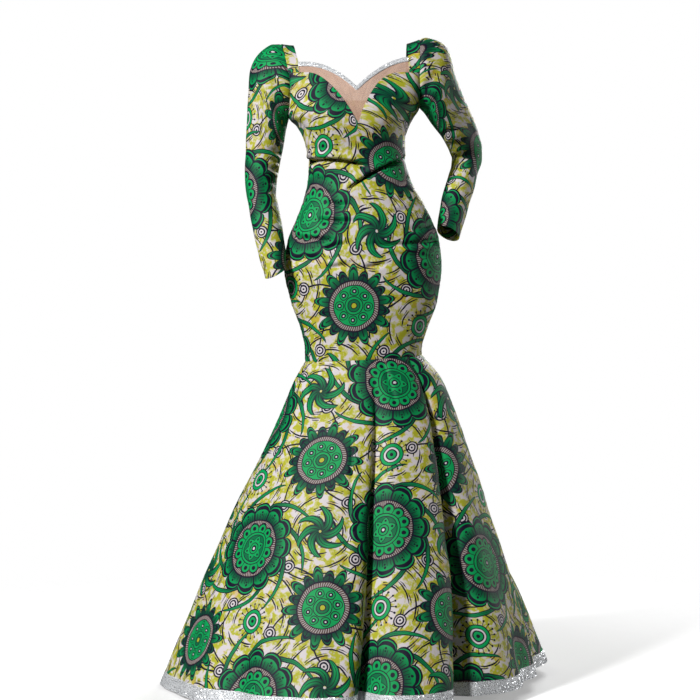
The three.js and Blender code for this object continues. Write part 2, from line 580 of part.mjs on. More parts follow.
// Pull tab, drawn flat around the bar that it turns on, with the window that the bridge passes through.
function zipPull() {
  const outline = new THREE.Shape();
  outline.moveTo(-PULL.topHalf, PULL.barHalf);
  outline.lineTo(-PULL.topHalf, PULL.neckZ);
  outline.absarc(0, PULL.endZ, PULL.endHalf, Math.PI, 2 * Math.PI, false);
  outline.lineTo(PULL.topHalf, PULL.neckZ);
  outline.lineTo(PULL.topHalf, PULL.barHalf);
  const opening = new THREE.Path();
  opening.moveTo(-PULL.windowHalf, -PULL.barHalf);
  opening.lineTo(PULL.windowHalf, -PULL.barHalf);
  opening.lineTo(PULL.windowHalf, PULL.windowLow);
  opening.lineTo(-PULL.windowHalf, PULL.windowLow);
  outline.holes.push(opening);
  const geometry = new THREE.ExtrudeGeometry(outline, { depth: PULL.thick, bevelEnabled: false, curveSegments: 8 });
  return geometry.translate(0, 0, -PULL.thick / 2);
}

const wax = new THREE.MeshStandardMaterial({ color: 0x3f8f4a, roughness: 0.75, metalness: 0 });
const net = new THREE.MeshStandardMaterial({ color: 0xc9a58c, roughness: 0.8, metalness: 0 });
const silver = new THREE.MeshStandardMaterial({ color: 0xcfd4d6, roughness: 0.4, metalness: 0.5 });
const zinc = new THREE.MeshStandardMaterial({ color: 0x3a6b48, roughness: 0.4, metalness: 0.3 });

const dress = new THREE.Group();

function addPiece(name, geometry, material) {
  const piece = new THREE.Mesh(geometry, material);
  piece.name = name;
  dress.add(piece);
  return piece;
}

addPiece('front_panel', frontPanel(), wax);
addPiece('back_left', backPanel('left'), wax);
addPiece('back_right', backPanel('right'), wax);
addPiece('strap_left', shoulderStrap('left'), wax);
addPiece('strap_right', shoulderStrap('right'), wax);
addPiece('mesh_yoke', meshYoke(), net);
addPiece('neck_trim', neckTrim(), silver);
addPiece('sleeve_left', sleeve('left'), wax);
addPiece('sleeve_right', sleeve('right'), wax);
addPiece('skirt_front', skirtHalf(-1), wax);
addPiece('skirt_back', skirtHalf(1), wax);
addPiece('hem_band', hemBand(), silver);

// The slider sits on the cloth just under the back neckline, and turns with the panel's outward side.
const sliderZ = BACK_NECK.lowZ - SLIDER.below;
const zipSeat = bodyPoint(0, sliderZ + SLIDER.length / 2, 1);
const seatBelow = bodyPoint(0, sliderZ - SLIDER.length / 2, 1);
const sliderY = Math.max(zipSeat.y, seatBelow.y) + HALF_GAP + CLOTH_WALL / 2 + SEAM_GAP;
const slider = addPiece('zip_slider', zipSlider(), zinc);
slider.quaternion.set(0.5, 0.5, 0.5, 0.5);
slider.position.set(zipSeat.x, sliderY, sliderZ);

const pivotOut = (SLIDER.thick + SLIDER.bridgeOut - SLIDER.bar) / 2;
const pivotUp = (SLIDER.bridgeLow + SLIDER.bridgeHigh) / 2;
const pull = addPiece('zip_pull', zipPull(), zinc);
pull.rotation.x = Math.PI / 2;
pull.position.set(zipSeat.x, sliderY + pivotOut, sliderZ + pivotUp);

export default dress;
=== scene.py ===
"""A long mermaid dress in printed cotton, in its worn form with nobody in it.

Sizes are in millimetres, as on a maker's drawing, and become metres where a mesh is made. X runs to the
right of a viewer who faces the front, Y to the back and Z up. The origin is midway between the shoulders.
Left and right are that viewer's left and right.
"""

import logging
import math
from dataclasses import dataclass
from enum import Enum
from typing import Callable

import bpy
import numpy as np
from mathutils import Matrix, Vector


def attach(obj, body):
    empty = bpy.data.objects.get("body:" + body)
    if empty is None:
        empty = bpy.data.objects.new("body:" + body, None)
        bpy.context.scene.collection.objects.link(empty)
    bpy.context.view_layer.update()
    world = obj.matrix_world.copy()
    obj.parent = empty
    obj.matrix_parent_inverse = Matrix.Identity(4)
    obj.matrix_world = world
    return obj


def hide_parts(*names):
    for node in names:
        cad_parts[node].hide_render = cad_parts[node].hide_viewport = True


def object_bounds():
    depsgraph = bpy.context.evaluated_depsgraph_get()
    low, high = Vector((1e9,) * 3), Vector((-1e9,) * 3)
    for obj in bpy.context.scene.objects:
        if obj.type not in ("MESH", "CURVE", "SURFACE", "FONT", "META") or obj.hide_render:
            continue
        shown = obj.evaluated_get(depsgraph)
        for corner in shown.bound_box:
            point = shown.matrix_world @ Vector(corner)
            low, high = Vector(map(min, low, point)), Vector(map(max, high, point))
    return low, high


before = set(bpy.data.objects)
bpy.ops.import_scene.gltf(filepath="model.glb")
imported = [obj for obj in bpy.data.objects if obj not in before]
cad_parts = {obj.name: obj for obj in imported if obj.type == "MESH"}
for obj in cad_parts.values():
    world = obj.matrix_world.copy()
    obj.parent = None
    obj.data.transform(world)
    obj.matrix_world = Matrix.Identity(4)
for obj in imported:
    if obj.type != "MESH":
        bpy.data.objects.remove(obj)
CAD_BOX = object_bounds()

Array = np.ndarray
Point = tuple[float, float]
Colour = tuple[float, float, float, float]
LOG = logging.getLogger("dress")

MM = 0.001
DRESS = "dress"
PULL = "pull"
CUT_MAP = "cut_map"


class Facing(Enum):
    """The two sides of the dress, by the sign of their Y."""

    FRONT = -1
    BACK = 1


# Plain maths


def mix(low: Array | float, high: Array | float, share: Array | float) -> Array:
    """Value that lies a share of the way from low to high."""
    return low + (high - low) * share


def smooth(value: Array, low: float, high: float) -> Array:
    """Soft step from 0 at low to 1 at high."""
    t = np.clip((value - low) / (high - low), 0, 1)
    return t * t * (3 - 2 * t)


def bell(value: Array, width: Array | float) -> Array:
    """Bell curve of height 1 and of that half width."""
    return np.exp(-((value / width) ** 2))


def stack(x: Array, y: Array, z: Array) -> Array:
    """Points from their three coordinates."""
    return np.stack(np.broadcast_arrays(x, y, z), axis=-1).astype(float)


def shares(*stops: tuple[float, int], start: float = 0.0) -> Array:
    """Even steps between stops.

    Args:
        stops: each stop and the number of steps that lead to it.
        start: the first value.

    Returns:
        The values in order.
    """
    values = [np.array([start])]
    for stop, steps in stops:
        values.append(np.linspace(values[-1][-1], stop, steps + 1)[1:])
    return np.concatenate(values)


class Table:
    """Sizes in named columns, read along the first one on smooth curves that never overshoot."""

    def __init__(self, names: str, rows: list[tuple[float, ...]]) -> None:
        """Keeps the columns in rising order of the first."""
        ordered = sorted(rows)
        self.columns = dict(zip(names.split(), np.array(ordered, float).T))
        self.key = np.array(ordered, float)[:, 0]

    def read(self, column: str, place: Array | float) -> Array:
        """Values of a column.

        Args:
            column: the column's name.
            place: where along the first column.

        Returns:
            One value for each place.
        """
        knots = self.key
        values = self.columns[column]
        slopes = np.diff(values) / np.diff(knots)
        tangents = np.zeros_like(values)
        tangents[[0, -1]] = slopes[[0, -1]]
        before, after = slopes[:-1], slopes[1:]
        together = before * after > 0
        tangents[1:-1][together] = (2 * before * after)[together] / (before + after)[together]
        row = np.clip(np.searchsorted(knots, place) - 1, 0, len(knots) - 2)
        width = knots[row + 1] - knots[row]
        t = np.clip((place - knots[row]) / width, 0, 1)
        ease = t * t * (3 - 2 * t)
        lift = t * (1 - t) ** 2 * tangents[row] - t * t * (1 - t) * tangents[row + 1]
        return values[row] + (values[row + 1] - values[row]) * ease + lift * width


# The form that the dress is worn on, in the sizes of its solids

BODY = Table("z left right front back", [
    (-42, -152, 145, 50, 74),
    (-75, -152, 145, 68, 86),
    (-110, -152, 145, 86, 94),
    (-149, -153, 145, 102, 96),
    (-172, -154, 132, 107, 95),
    (-191, -136, 122, 107, 92),
    (-223, -119.5, 112.5, 101, 86),
    (-269, -108, 112.5, 88, 78),
    (-315, -110, 125, 84, 77),
    (-361, -120, 149, 88, 85),
    (-407, -137, 173, 94, 100),
    (-453, -156, 190, 98, 114),
    (-511, -165, 196, 99, 122),
    (-591, -150, 186, 96, 112),
    (-660, -126, 162, 92, 99),
    (-705, -116.5, 150, 90, 94),
    (-745, -116.5, 150, 90, 94),
])
BODY_SQUARENESS = 0.86
SEAM = 0.1
ARMHOLE_TURN = math.radians(25)
ARMHOLE_TURN_HEIGHT = 60


@dataclass(frozen=True)
class Armhole:
    """An upright oval in the side of the bodice; bow draws its middle in towards the chest."""

    side: str
    inward: int
    top: Point
    bottom: Point
    reach: float
    bow: float

    @property
    def middle(self) -> float:
        """Height of the oval's centre."""
        return (self.top[1] + self.bottom[1]) / 2

    @property
    def half(self) -> float:
        """Half the oval's height."""
        return (self.top[1] - self.bottom[1]) / 2 + SEAM

    def point(self, turn: Array) -> Array:
        """Points of the oval at turns from its top, negative at the front."""
        share = (1 + np.cos(turn)) / 2
        x = mix(self.bottom[0], self.top[0], share) + self.inward * self.bow * np.sin(turn) ** 2
        return stack(x, (self.reach + SEAM) * np.sin(turn), self.middle + self.half * np.cos(turn))

    def side_line(self, z: Array) -> tuple[Array, Array, Array]:
        """Where the side of the body runs at a height.

        Args:
            z: heights.

        Returns:
            X, how far the edge stands from the side plane, and the turn of the body's section there.
        """
        rise = (z - self.middle) / self.half
        edge = self.point(np.arccos(np.clip(rise, -1, 1)))
        in_hole = rise > -1
        low = self.middle - self.half
        turn = ARMHOLE_TURN * smooth(z, low, low + ARMHOLE_TURN_HEIGHT)
        x = np.where(in_hole, edge[..., 0], BODY.read(self.side, z))
        return x, np.where(in_hole, edge[..., 1], 0.0), np.where(in_hole, turn, 0.0)


LEFT_HOLE = Armhole("left", 1, (-172, -4), (-154, -172), 56, 11)
RIGHT_HOLE = Armhole("right", -1, (145.5, 6), (145, -149), 56, 1)


def body_point(across: Array, z: Array, facing: Facing) -> Array:
    """Points of the body's surface.

    Args:
        across: from -1 at the left side to 1 at the right.
        z: heights.
        facing: the side of the dress.

    Returns:
        The points.
    """
    left_x, left_reach, left_turn = LEFT_HOLE.side_line(z)
    right_x, right_reach, right_turn = RIGHT_HOLE.side_line(z)
    share = (across + 1) / 2
    reach = mix(left_reach, right_reach, share)
    spread = np.cos(mix(left_turn, right_turn, share))
    rim = np.sqrt(1 - spread ** 2)
    bulge = (np.sqrt(np.clip(1 - (across * spread) ** 2, 0, None)) - rim) / (1 - rim)
    depth = BODY.read("front" if facing is Facing.FRONT else "back", z)
    y = facing.value * (reach + (depth - reach) * np.clip(bulge, 0, None) ** BODY_SQUARENESS)
    return stack(mix(left_x, right_x, share), y, z)


def across_at(x: Array, z: Array) -> Array:
    """Share of the body's width at an X and a height."""
    left = LEFT_HOLE.side_line(z)[0]
    right = RIGHT_HOLE.side_line(z)[0]
    return np.clip(2 * (x - left) / (right - left) - 1, -1, 1)


# Edges and seams of the bodice

SWEETHEART_LOW = (5, -198)
SWEETHEART_SHOULDER_Z = -77
SWEETHEART_LEFT = (115, 1.8)
SWEETHEART_RIGHT = (105, 2.8)
NECK_LOW = (1, -117)
NECK_SHOULDER_Z = -51
NECK_SLOPE = 0.05
NECK_SPAN = 125
BACK_NECK_SHOULDER_Z = -88
BACK_NECK_LOW_Z = -120
BACK_NECK_HALF = 128
TRIM_HEIGHT = 10.5
STRAP_FRONT = 24
STRAP_TOP = 29
STRAP_BACK = 27
NET_TUCK = 4.0
ZIP_STITCH = 7.0
ZIP_END_Z = -560
ZIP_BELOW_NECK = 2
EDGE_PASSES = 12
THIGH_Z = -723.6
THIGH_X = 16
THIGH_SLOPE_X = 0.056
THIGH_SLOPE_Y = 0.04
THIGH_SECTION_Z = -730
CUP_SPACING = 126
CUP_Z = -190
CUP_HEIGHT = 13
CUP_WIDTH = 36


def sweetheart_z(x: Array) -> Array:
    """Height of the bodice's top edge over X."""
    left = x < SWEETHEART_LOW[0]
    span = np.where(left, SWEETHEART_LEFT[0], SWEETHEART_RIGHT[0])
    power = np.where(left, SWEETHEART_LEFT[1], SWEETHEART_RIGHT[1])
    share = np.clip(1 - np.abs(x - SWEETHEART_LOW[0]) / span, 0, None)
    return mix(SWEETHEART_SHOULDER_Z, SWEETHEART_LOW[1], share ** power)


def neckline_z(x: Array) -> Array:
    """Height of the middle of the silver trim over X."""
    share = np.clip(1 - np.abs(x - NECK_LOW[0]) / NECK_SPAN, 0, None)
    return mix(NECK_SHOULDER_Z + NECK_SLOPE * x, NECK_LOW[1], share ** 2)


def back_neck_z(x: Array) -> Array:
    """Height of the back neckline over X."""
    share = np.clip(np.abs(x) / BACK_NECK_HALF, 0, 1)
    return mix(BACK_NECK_LOW_Z, BACK_NECK_SHOULDER_Z, share ** 2)


def bodice_edge_z(across: Array) -> Array:
    """Height of the bodice's top edge at a share of the width, found by narrowing in on its X."""
    z = np.full_like(across, SWEETHEART_SHOULDER_Z, dtype=float)
    for _ in range(EDGE_PASSES):
        z = sweetheart_z(body_point(across, z, Facing.FRONT)[..., 0])
    return z


def thigh_z(point: Array) -> Array:
    """Height of the tilted seam between body and skirt at points of its section."""
    return THIGH_Z + THIGH_SLOPE_X * (point[..., 0] - THIGH_X) + THIGH_SLOPE_Y * point[..., 1]


def armhole_rise(across: Array, top_z: float, level: Array) -> Array:
    """How far up from an armpit to a top edge a row stands, in even turns of the armholes."""
    rises = []
    for hole in (LEFT_HOLE, RIGHT_HOLE):
        top_turn = math.acos((top_z - hole.middle) / hole.half)
        z = hole.middle + hole.half * np.cos(mix(math.pi, top_turn, level))
        low = hole.middle - hole.half
        rises.append((z - low) / (top_z - low))
    return mix(rises[0], rises[1], (across + 1) / 2)


def armpit_z(across: Array) -> Array:
    """Height of the line between the two armpits."""
    return mix(LEFT_HOLE.bottom[1], RIGHT_HOLE.bottom[1], (across + 1) / 2) - SEAM


def cup_height(x: Array, z: Array) -> Array:
    """How far the cloth stands out over the bust."""
    middle = (BODY.read("left", z) + BODY.read("right", z)) / 2
    total = 0
    for cup in (-1, 1):
        fall = (x - middle - cup * CUP_SPACING / 2) ** 2 + (z - CUP_Z) ** 2
        total = total + np.exp(-fall / (2 * CUP_WIDTH ** 2))
    return CUP_HEIGHT * total


# Cloth laid out in rows and columns

SHARP_ANGLE = math.radians(62)
CREASE_STEPS = 48
CREASE_REACH = 4.0


@dataclass(frozen=True)
class Lay:
    """How a piece was laid on the printed cloth: turned in degrees, then moved in mm."""

    turn: float = 0.0
    across: float = 0.0
    along: float = 0.0

    def on_cloth(self, flat: Array) -> Array:
        """Places on the printed cloth, in metres, for the flat places of a cut piece in mm."""
        cos, sin = math.cos(math.radians(self.turn)), math.sin(math.radians(self.turn))
        x = flat[..., 0] * cos - flat[..., 1] * sin + self.across
        y = flat[..., 0] * sin + flat[..., 1] * cos + self.along
        return np.stack([x, y], axis=-1) * MM


@dataclass
class Cloth:
    """Points of a cloth surface in rows and columns, and the flat cut that they came from."""

    points: Array
    ring: bool = False
    flat: Array | None = None

    def slope(self, axis: int) -> Array:
        """Change of the points along rows, axis 0, or columns, axis 1."""
        if self.ring and axis == 1:
            return (np.roll(self.points, -1, axis=1) - np.roll(self.points, 1, axis=1)) / 2
        return np.gradient(self.points, axis=axis)

    def normals(self) -> Array:
        """Unit normals that point out of the dress."""
        normal = np.cross(self.slope(1), self.slope(0))
        return normal / np.maximum(np.linalg.norm(normal, axis=-1, keepdims=True), 1e-9)

    def run(self, axis: int) -> Array:
        """Length of cloth from the first row or column."""
        points = self.points
        if self.ring and axis == 1:
            points = np.concatenate([points, points[:, :1]], axis=1)
        steps = np.linalg.norm(np.diff(points, axis=axis), axis=-1)
        zeros = np.zeros_like(steps.take([0], axis=axis))
        return np.cumsum(np.concatenate([zeros, steps], axis=axis), axis=axis)

    def lay_flat(self, middle: int, level_row: int = 0, apex: float = 0.0) -> None:
        """Works out the flat cut.

        Args:
            middle: the column that lies straight in the cut.
            level_row: the row that lies level in the cut.
            apex: for a flared piece, how far its level top edge is from the point where its sides meet.
        """
        along = self.run(1)
        side = along - along[:, middle:middle + 1]
        up = self.run(0)
        up = up - up[level_row]
        if self.ring:
            up = np.concatenate([up, up[:, :1]], axis=1)
        if apex:
            reach = apex - up
            side, up = reach * np.sin(side / reach), -reach * np.cos(side / reach)
        self.flat = np.stack([side, up], axis=-1)

    def lift(self, height: Array) -> None:
        """Moves the surface out along its normals."""
        self.points = self.points + self.normals() * height[..., None]

    def edge_distance(self, edges: str) -> Array:
        """Length of cloth to the nearest of the named edges, from left, right, top and bottom."""
        across, up = self.run(1)[:, :self.points.shape[1]], self.run(0)
        found = {
            "left": across,
            "right": across[:, -1:] - across,
            "bottom": up,
            "top": up[-1:] - up,
        }
        return np.minimum.reduce([found[name] for name in edges.split()])

    def cut_size(self) -> tuple[Point, float]:
        """Width and length of the flat cut, and its area, in metres."""
        extent = (self.flat.max(axis=(0, 1)) - self.flat.min(axis=(0, 1))) * MM
        one = self.flat[1:, 1:] - self.flat[:-1, :-1]
        other = self.flat[1:, :-1] - self.flat[:-1, 1:]
        area = np.abs(one[..., 0] * other[..., 1] - one[..., 1] * other[..., 0]).sum() / 2
        return (float(extent[0]), float(extent[1])), float(area) * MM * MM


@dataclass(frozen=True)
class Crease:
    """A soft trough with a ridge beside it, along a curve drawn on the front or back view.

    Start, through and end are X and Z of the curve. Lead is the share of it over which the crease grows,
    so a crease that comes out of a seam has next to none.
    """

    start: Point
    through: Point
    end: Point
    depth: float
    width: float
    lead: float = 0.3
    ridge: float = 0.45
    facing: Facing = Facing.FRONT

    def height(self, points: Array, normals: Array) -> Array:
        """How far the crease lifts or sinks each point."""
        t = np.linspace(0, 1, CREASE_STEPS)[:, None]
        start, through, end = (np.array(p, float) for p in (self.start, self.through, self.end))
        bend = 2 * through - (start + end) / 2
        path = (1 - t) ** 2 * start + 2 * t * (1 - t) * bend + t * t * end
        tangent = np.gradient(path, axis=0)
        reach = CREASE_REACH * self.width
        view = points[..., [0, 2]]
        low, high = path.min(axis=0) - reach, path.max(axis=0) + reach
        near = ((view > low) & (view < high)).all(axis=-1)
        height = np.zeros(points.shape[:2])
        if not near.any():
            return height
        offset = view[near][:, None, :] - path
        nearest = (offset ** 2).sum(axis=-1).argmin(axis=1)
        chosen = offset[np.arange(len(nearest)), nearest]
        along = tangent[nearest]
        side = np.sign(along[:, 0] * chosen[:, 1] - along[:, 1] * chosen[:, 0])
        distance = np.linalg.norm(chosen, axis=1) * side
        place = nearest / (CREASE_STEPS - 1)
        fade = smooth(place, 0, max(self.lead, 1e-3)) * (1 - smooth(place, 0.45, 1))
        ridge = self.ridge * bell(distance - 1.7 * self.width, 1.1 * self.width)
        towards = smooth(self.facing.value * normals[near][:, 1], -0.05, 0.35)
        height[near] = self.depth * fade * towards * (ridge - bell(distance, self.width))
        return height


def wander(points: Array, height: float, size: float) -> Array:
    """Gentle unevenness of worn cloth, of that height and size."""
    x, y, z = (points[..., i] / size for i in range(3))
    waves = np.sin(2.1 * x + 1.3 * z + 0.7 * y) + np.sin(-1.4 * x + 2.3 * z + 1.9 * y + 1.1)
    return height * (waves + np.sin(3.1 * x - 0.8 * z - 1.7 * y + 2.4)) / 3


def ridge(distance: Array, height: float, place: float, width: float) -> Array:
    """A rounded ridge that runs beside a line, with its crest at that place in the distance from it."""
    return height * bell(distance - place, width)


def creased(cloth: Cloth, creases: tuple[Crease, ...]) -> Array:
    """How far the creases raise each place of a cloth."""
    normals = cloth.normals()
    return sum(crease.height(cloth.points, normals) for crease in creases)


def seam_relief(cloth: Cloth, edges: str, dip: float = 0.9, pucker: float = 0.55) -> Array:
    """Dip of the cloth into its seams, and the slight pucker that sewing leaves beside them."""
    distance = cloth.edge_distance(edges)
    run = cloth.run(1)[:, :cloth.points.shape[1]] + cloth.run(0)
    ripple = np.sin(run / 2.4) * np.sin(run / 9.1 + 1.0) + 0.5 * np.sin(run / 4.3 + 2.0)
    return pucker * ripple * bell(distance - 3.0, 5.0) - dip * bell(distance, 2.2)


def linked(name: str, data: bpy.types.ID) -> bpy.types.Object:
    """A new object in the scene with that data."""
    made = bpy.data.objects.new(name, data)
    bpy.context.scene.collection.objects.link(made)
    return made


def evaluated(carrier: bpy.types.Object, name: str) -> bpy.types.Mesh:
    """A plain mesh of what an object's modifiers make."""
    graph = bpy.context.evaluated_depsgraph_get()
    mesh = bpy.data.meshes.new_from_object(carrier.evaluated_get(graph))
    mesh.name = name
    return mesh


def mesh_object(name: str, vertices: Array, faces: Array, uvs: Array | None = None) -> bpy.types.Object:
    """Makes an object from quads.

    Args:
        name: the piece's name.
        vertices: places in mm.
        faces: four vertex numbers a face.
        uvs: a place on the cloth for each corner of each face.

    Returns:
        The linked object, at the origin.
    """
    mesh = bpy.data.meshes.new(name)
    mesh.vertices.add(len(vertices))
    mesh.vertices.foreach_set("co", (vertices * MM).astype(np.float32).ravel())
    mesh.loops.add(faces.size)
    mesh.loops.foreach_set("vertex_index", faces.astype(np.int32).ravel())
    mesh.polygons.add(len(faces))
    mesh.polygons.foreach_set("loop_start", np.arange(0, faces.size, 4, dtype=np.int32))
    if uvs is not None:
        layer = mesh.uv_layers.new(name=CUT_MAP)
        layer.data.foreach_set("uv", uvs.astype(np.float32).ravel())
    mesh.update(calc_edges=True)
    mesh.validate()
    mesh.shade_smooth()
    mesh.set_sharp_from_angle(angle=SHARP_ANGLE)
    return linked(name, mesh)


def cloth_piece(name: str, cloth: Cloth, thickness: Array | float, lay: Lay) -> bpy.types.Object:
    """Makes a closed thin wall around a cloth surface.

    Args:
        name: the piece's name.
        cloth: the surface through the middle of the wall.
        thickness: of the wall, for all of it or for each row.
        lay: how the piece was laid on the printed cloth.

    Returns:
        The linked object.
    """
    rows, columns = cloth.points.shape[:2]
    half = cloth.normals() * np.reshape(thickness, (-1, 1, 1)) / 2
    vertices = np.concatenate([(cloth.points + half).reshape(-1, 3), (cloth.points - half).reshape(-1, 3)])
    spans = columns if cloth.ring else columns - 1

    def patch(row: Array, column: Array, corners: list[tuple[int, int, int]]) -> Array:
        """Corners of faces, each as side of the wall, row and column."""
        grid_row, grid_column = np.meshgrid(row, column, indexing="ij")
        made = []
        for side, row_step, column_step in corners:
            flat_row, flat_column = (grid_row + row_step).ravel(), (grid_column + column_step).ravel()
            made.append(np.stack([np.full(flat_row.shape, side), flat_row, flat_column], axis=-1))
        return np.stack(made, axis=1)

    every_row, every_column = np.arange(rows - 1), np.arange(spans)
    first, last = np.array([0]), np.array([rows - 1])
    patches = [
        patch(every_row, every_column, [(0, 0, 0), (0, 0, 1), (0, 1, 1), (0, 1, 0)]),
        patch(every_row, every_column, [(1, 0, 1), (1, 0, 0), (1, 1, 0), (1, 1, 1)]),
        patch(first, every_column, [(0, 0, 0), (1, 0, 0), (1, 0, 1), (0, 0, 1)]),
        patch(last, every_column, [(0, 0, 1), (1, 0, 1), (1, 0, 0), (0, 0, 0)]),
    ]
    if not cloth.ring:
        patches.append(patch(every_row, first, [(0, 1, 0), (1, 1, 0), (1, 0, 0), (0, 0, 0)]))
        end = np.array([columns - 1])
        patches.append(patch(every_row, end, [(0, 0, 0), (1, 0, 0), (1, 1, 0), (0, 1, 0)]))
    corners = np.concatenate(patches)
    faces = corners[..., 0] * rows * columns + corners[..., 1] * columns + corners[..., 2] % columns
    uvs = lay.on_cloth(cloth.flat)[corners[..., 1], corners[..., 2]]
    return mesh_object(name, vertices, faces, uvs)


# Node trees written as Python

MID_COLOUR = (0.5, 0.5, 0.5)


class Tree:
    """A node tree whose nodes are made in one call each."""

    def __init__(self, tree: bpy.types.NodeTree) -> None:
        """Keeps the tree."""
        self.tree = tree

    def node(self, kind: str, settings: dict | None = None, inputs: dict | None = None) -> bpy.types.Node:
        """Makes a node.

        Args:
            kind: the node's type.
            settings: its own settings, set before its sockets.
            inputs: a value, a socket or a Value for each socket, by name or number.

        Returns:
            The node.
        """
        made = self.tree.nodes.new(kind)
        for name, value in (settings or {}).items():
            setattr(made, name, value)
        for name, value in (inputs or {}).items():
            source = value.socket if isinstance(value, Value) else value
            if isinstance(source, bpy.types.NodeSocket):
                self.tree.links.new(source, made.inputs[name])
            else:
                made.inputs[name].default_value = source
        return made

    def vector(self, x: "Value | float", y: "Value | float", z: "Value | float") -> bpy.types.NodeSocket:
        """A vector from its parts."""
        return self.node("ShaderNodeCombineXYZ", inputs={0: x, 1: y, 2: z}).outputs[0]


class Value:
    """A number that changes over a surface; Python's operators on it add Math nodes."""

    def __init__(self, tree: Tree, socket: bpy.types.NodeSocket) -> None:
        """Keeps the socket that gives the number."""
        self.tree = tree
        self.socket = socket

    def math(self, operation: str, *others: "Value | float") -> "Value":
        """Result of a Math node on this number and others."""
        inputs = dict(enumerate((self, *others)))
        made = self.tree.node("ShaderNodeMath", {"operation": operation}, inputs)
        return Value(self.tree, made.outputs[0])

    def reflected(self, operation: str, other: float) -> "Value":
        """Result of a Math node with a plain number first."""
        made = self.tree.node("ShaderNodeMath", {"operation": operation}, {0: other, 1: self})
        return Value(self.tree, made.outputs[0])

    def __add__(self, other: "Value | float") -> "Value":
        """Sum."""
        return self.math("ADD", other)

    def __sub__(self, other: "Value | float") -> "Value":
        """Difference."""
        return self.math("SUBTRACT", other)

    def __mul__(self, other: "Value | float") -> "Value":
        """Product."""
        return self.math("MULTIPLY", other)

    def __truediv__(self, other: "Value | float") -> "Value":
        """Quotient."""
        return self.math("DIVIDE", other)

    def __rsub__(self, other: float) -> "Value":
        """Difference from a plain number."""
        return self.reflected("SUBTRACT", other)

    __radd__ = __add__
    __rmul__ = __mul__

    def __lt__(self, other: "Value | float") -> "Value":
        """1 where this number is less."""
        return self.math("LESS_THAN", other)

    def __gt__(self, other: "Value | float") -> "Value":
        """1 where this number is greater."""
        return self.math("GREATER_THAN", other)

    def root(self) -> "Value":
        """Square root, 0 for a negative number."""
        return self.math("MAXIMUM", 0.0).math("SQRT")

    def step(self, low: float, high: float) -> "Value":
        """Soft step from 0 at low to 1 at high."""
        inputs = {"Value": self, "From Min": low, "From Max": high}
        made = self.tree.node("ShaderNodeMapRange", {"interpolation_type": "SMOOTHSTEP"}, inputs)
        return Value(self.tree, made.outputs[0])


class Shade(Tree):
    """A material's node tree, with the surface's place on the cloth and colours laid one on another."""

    def __init__(self, name: str) -> None:
        """Makes the material with a Principled surface."""
        self.material = bpy.data.materials.new(name)
        self.material.use_nodes = True
        super().__init__(self.material.node_tree)
        self.surface = self.tree.nodes["Principled BSDF"]
        self.colour: bpy.types.NodeSocket | Colour = (1, 1, 1, 1)

    def value(self, node: bpy.types.Node, output: int | str = 0) -> Value:
        """A node's output as a number."""
        return Value(self, node.outputs[output])

    def place(self, source: bpy.types.NodeSocket, scale: float = 1.0) -> tuple[Value, Value, Value]:
        """The three parts of a vector, each times a scale."""
        scaled = self.node("ShaderNodeVectorMath", {"operation": "SCALE"}, {0: source, "Scale": scale})
        parts = self.node("ShaderNodeSeparateXYZ", inputs={0: scaled.outputs[0]})
        return self.value(parts, 0), self.value(parts, 1), self.value(parts, 2)

    def cut_place(self) -> bpy.types.NodeSocket:
        """Place on the flat cloth, in metres."""
        return self.node("ShaderNodeUVMap", {"uv_map": CUT_MAP}).outputs[0]

    def stray(self, base: bpy.types.NodeSocket, chance: bpy.types.NodeSocket,
              reach: float) -> bpy.types.NodeSocket:
        """A vector moved at random: chance is a colour, and reach the size of the move."""
        centred = self.node("ShaderNodeVectorMath", {"operation": "SUBTRACT"}, {0: chance, 1: MID_COLOUR})
        small = self.node("ShaderNodeVectorMath", {"operation": "SCALE"},
                          {0: centred.outputs[0], "Scale": reach})
        inputs = {0: base, 1: small.outputs[0]}
        return self.node("ShaderNodeVectorMath", {"operation": "ADD"}, inputs).outputs[0]

    def noise(self, at: bpy.types.NodeSocket, scale: float, detail: float = 2.0,
              distortion: float = 0.0) -> Value:
        """Cloudy noise between 0 and 1."""
        inputs = {"Vector": at, "Scale": scale, "Detail": detail, "Distortion": distortion}
        return self.value(self.node("ShaderNodeTexNoise", inputs=inputs))

    def lay(self, colour: Colour, mask: Value | float) -> None:
        """Paints a colour over what is there, where the mask is 1."""
        settings = {"data_type": "RGBA"}
        inputs = {0: mask, 6: self.colour, 7: colour}
        self.colour = self.node("ShaderNodeMix", settings, inputs).outputs[2]

    def finish(self, **sockets: float | Value | bpy.types.NodeSocket | Colour) -> bpy.types.Material:
        """Sets the surface's sockets, with words joined by _ in their names, and returns the material."""
        settings = {"Base Color": self.colour}
        settings |= {name.replace("_", " "): value for name, value in sockets.items()}
        for name, value in settings.items():
            source = value.socket if isinstance(value, Value) else value
            if isinstance(source, bpy.types.NodeSocket):
                self.tree.links.new(source, self.surface.inputs[name])
            else:
                self.surface.inputs[name].default_value = source
        return self.material

    def bump(self, height: Value, distance: float, strength: float = 1.0) -> bpy.types.NodeSocket:
        """Normal of a surface with that relief, of a depth in metres."""
        inputs = {"Height": height, "Distance": distance, "Strength": strength}
        return self.node("ShaderNodeBump", inputs=inputs).outputs[0]


def ink(red: int, green: int, blue: int) -> Colour:
    """Colour for a shader from the 0 to 255 values that a screen shows."""
    def linear(value: int) -> float:
        share = value / 255
        return share / 12.92 if share <= 0.04045 else ((share + 0.055) / 1.055) ** 2.4
    return (linear(red), linear(green), linear(blue), 1.0)


# Finishes

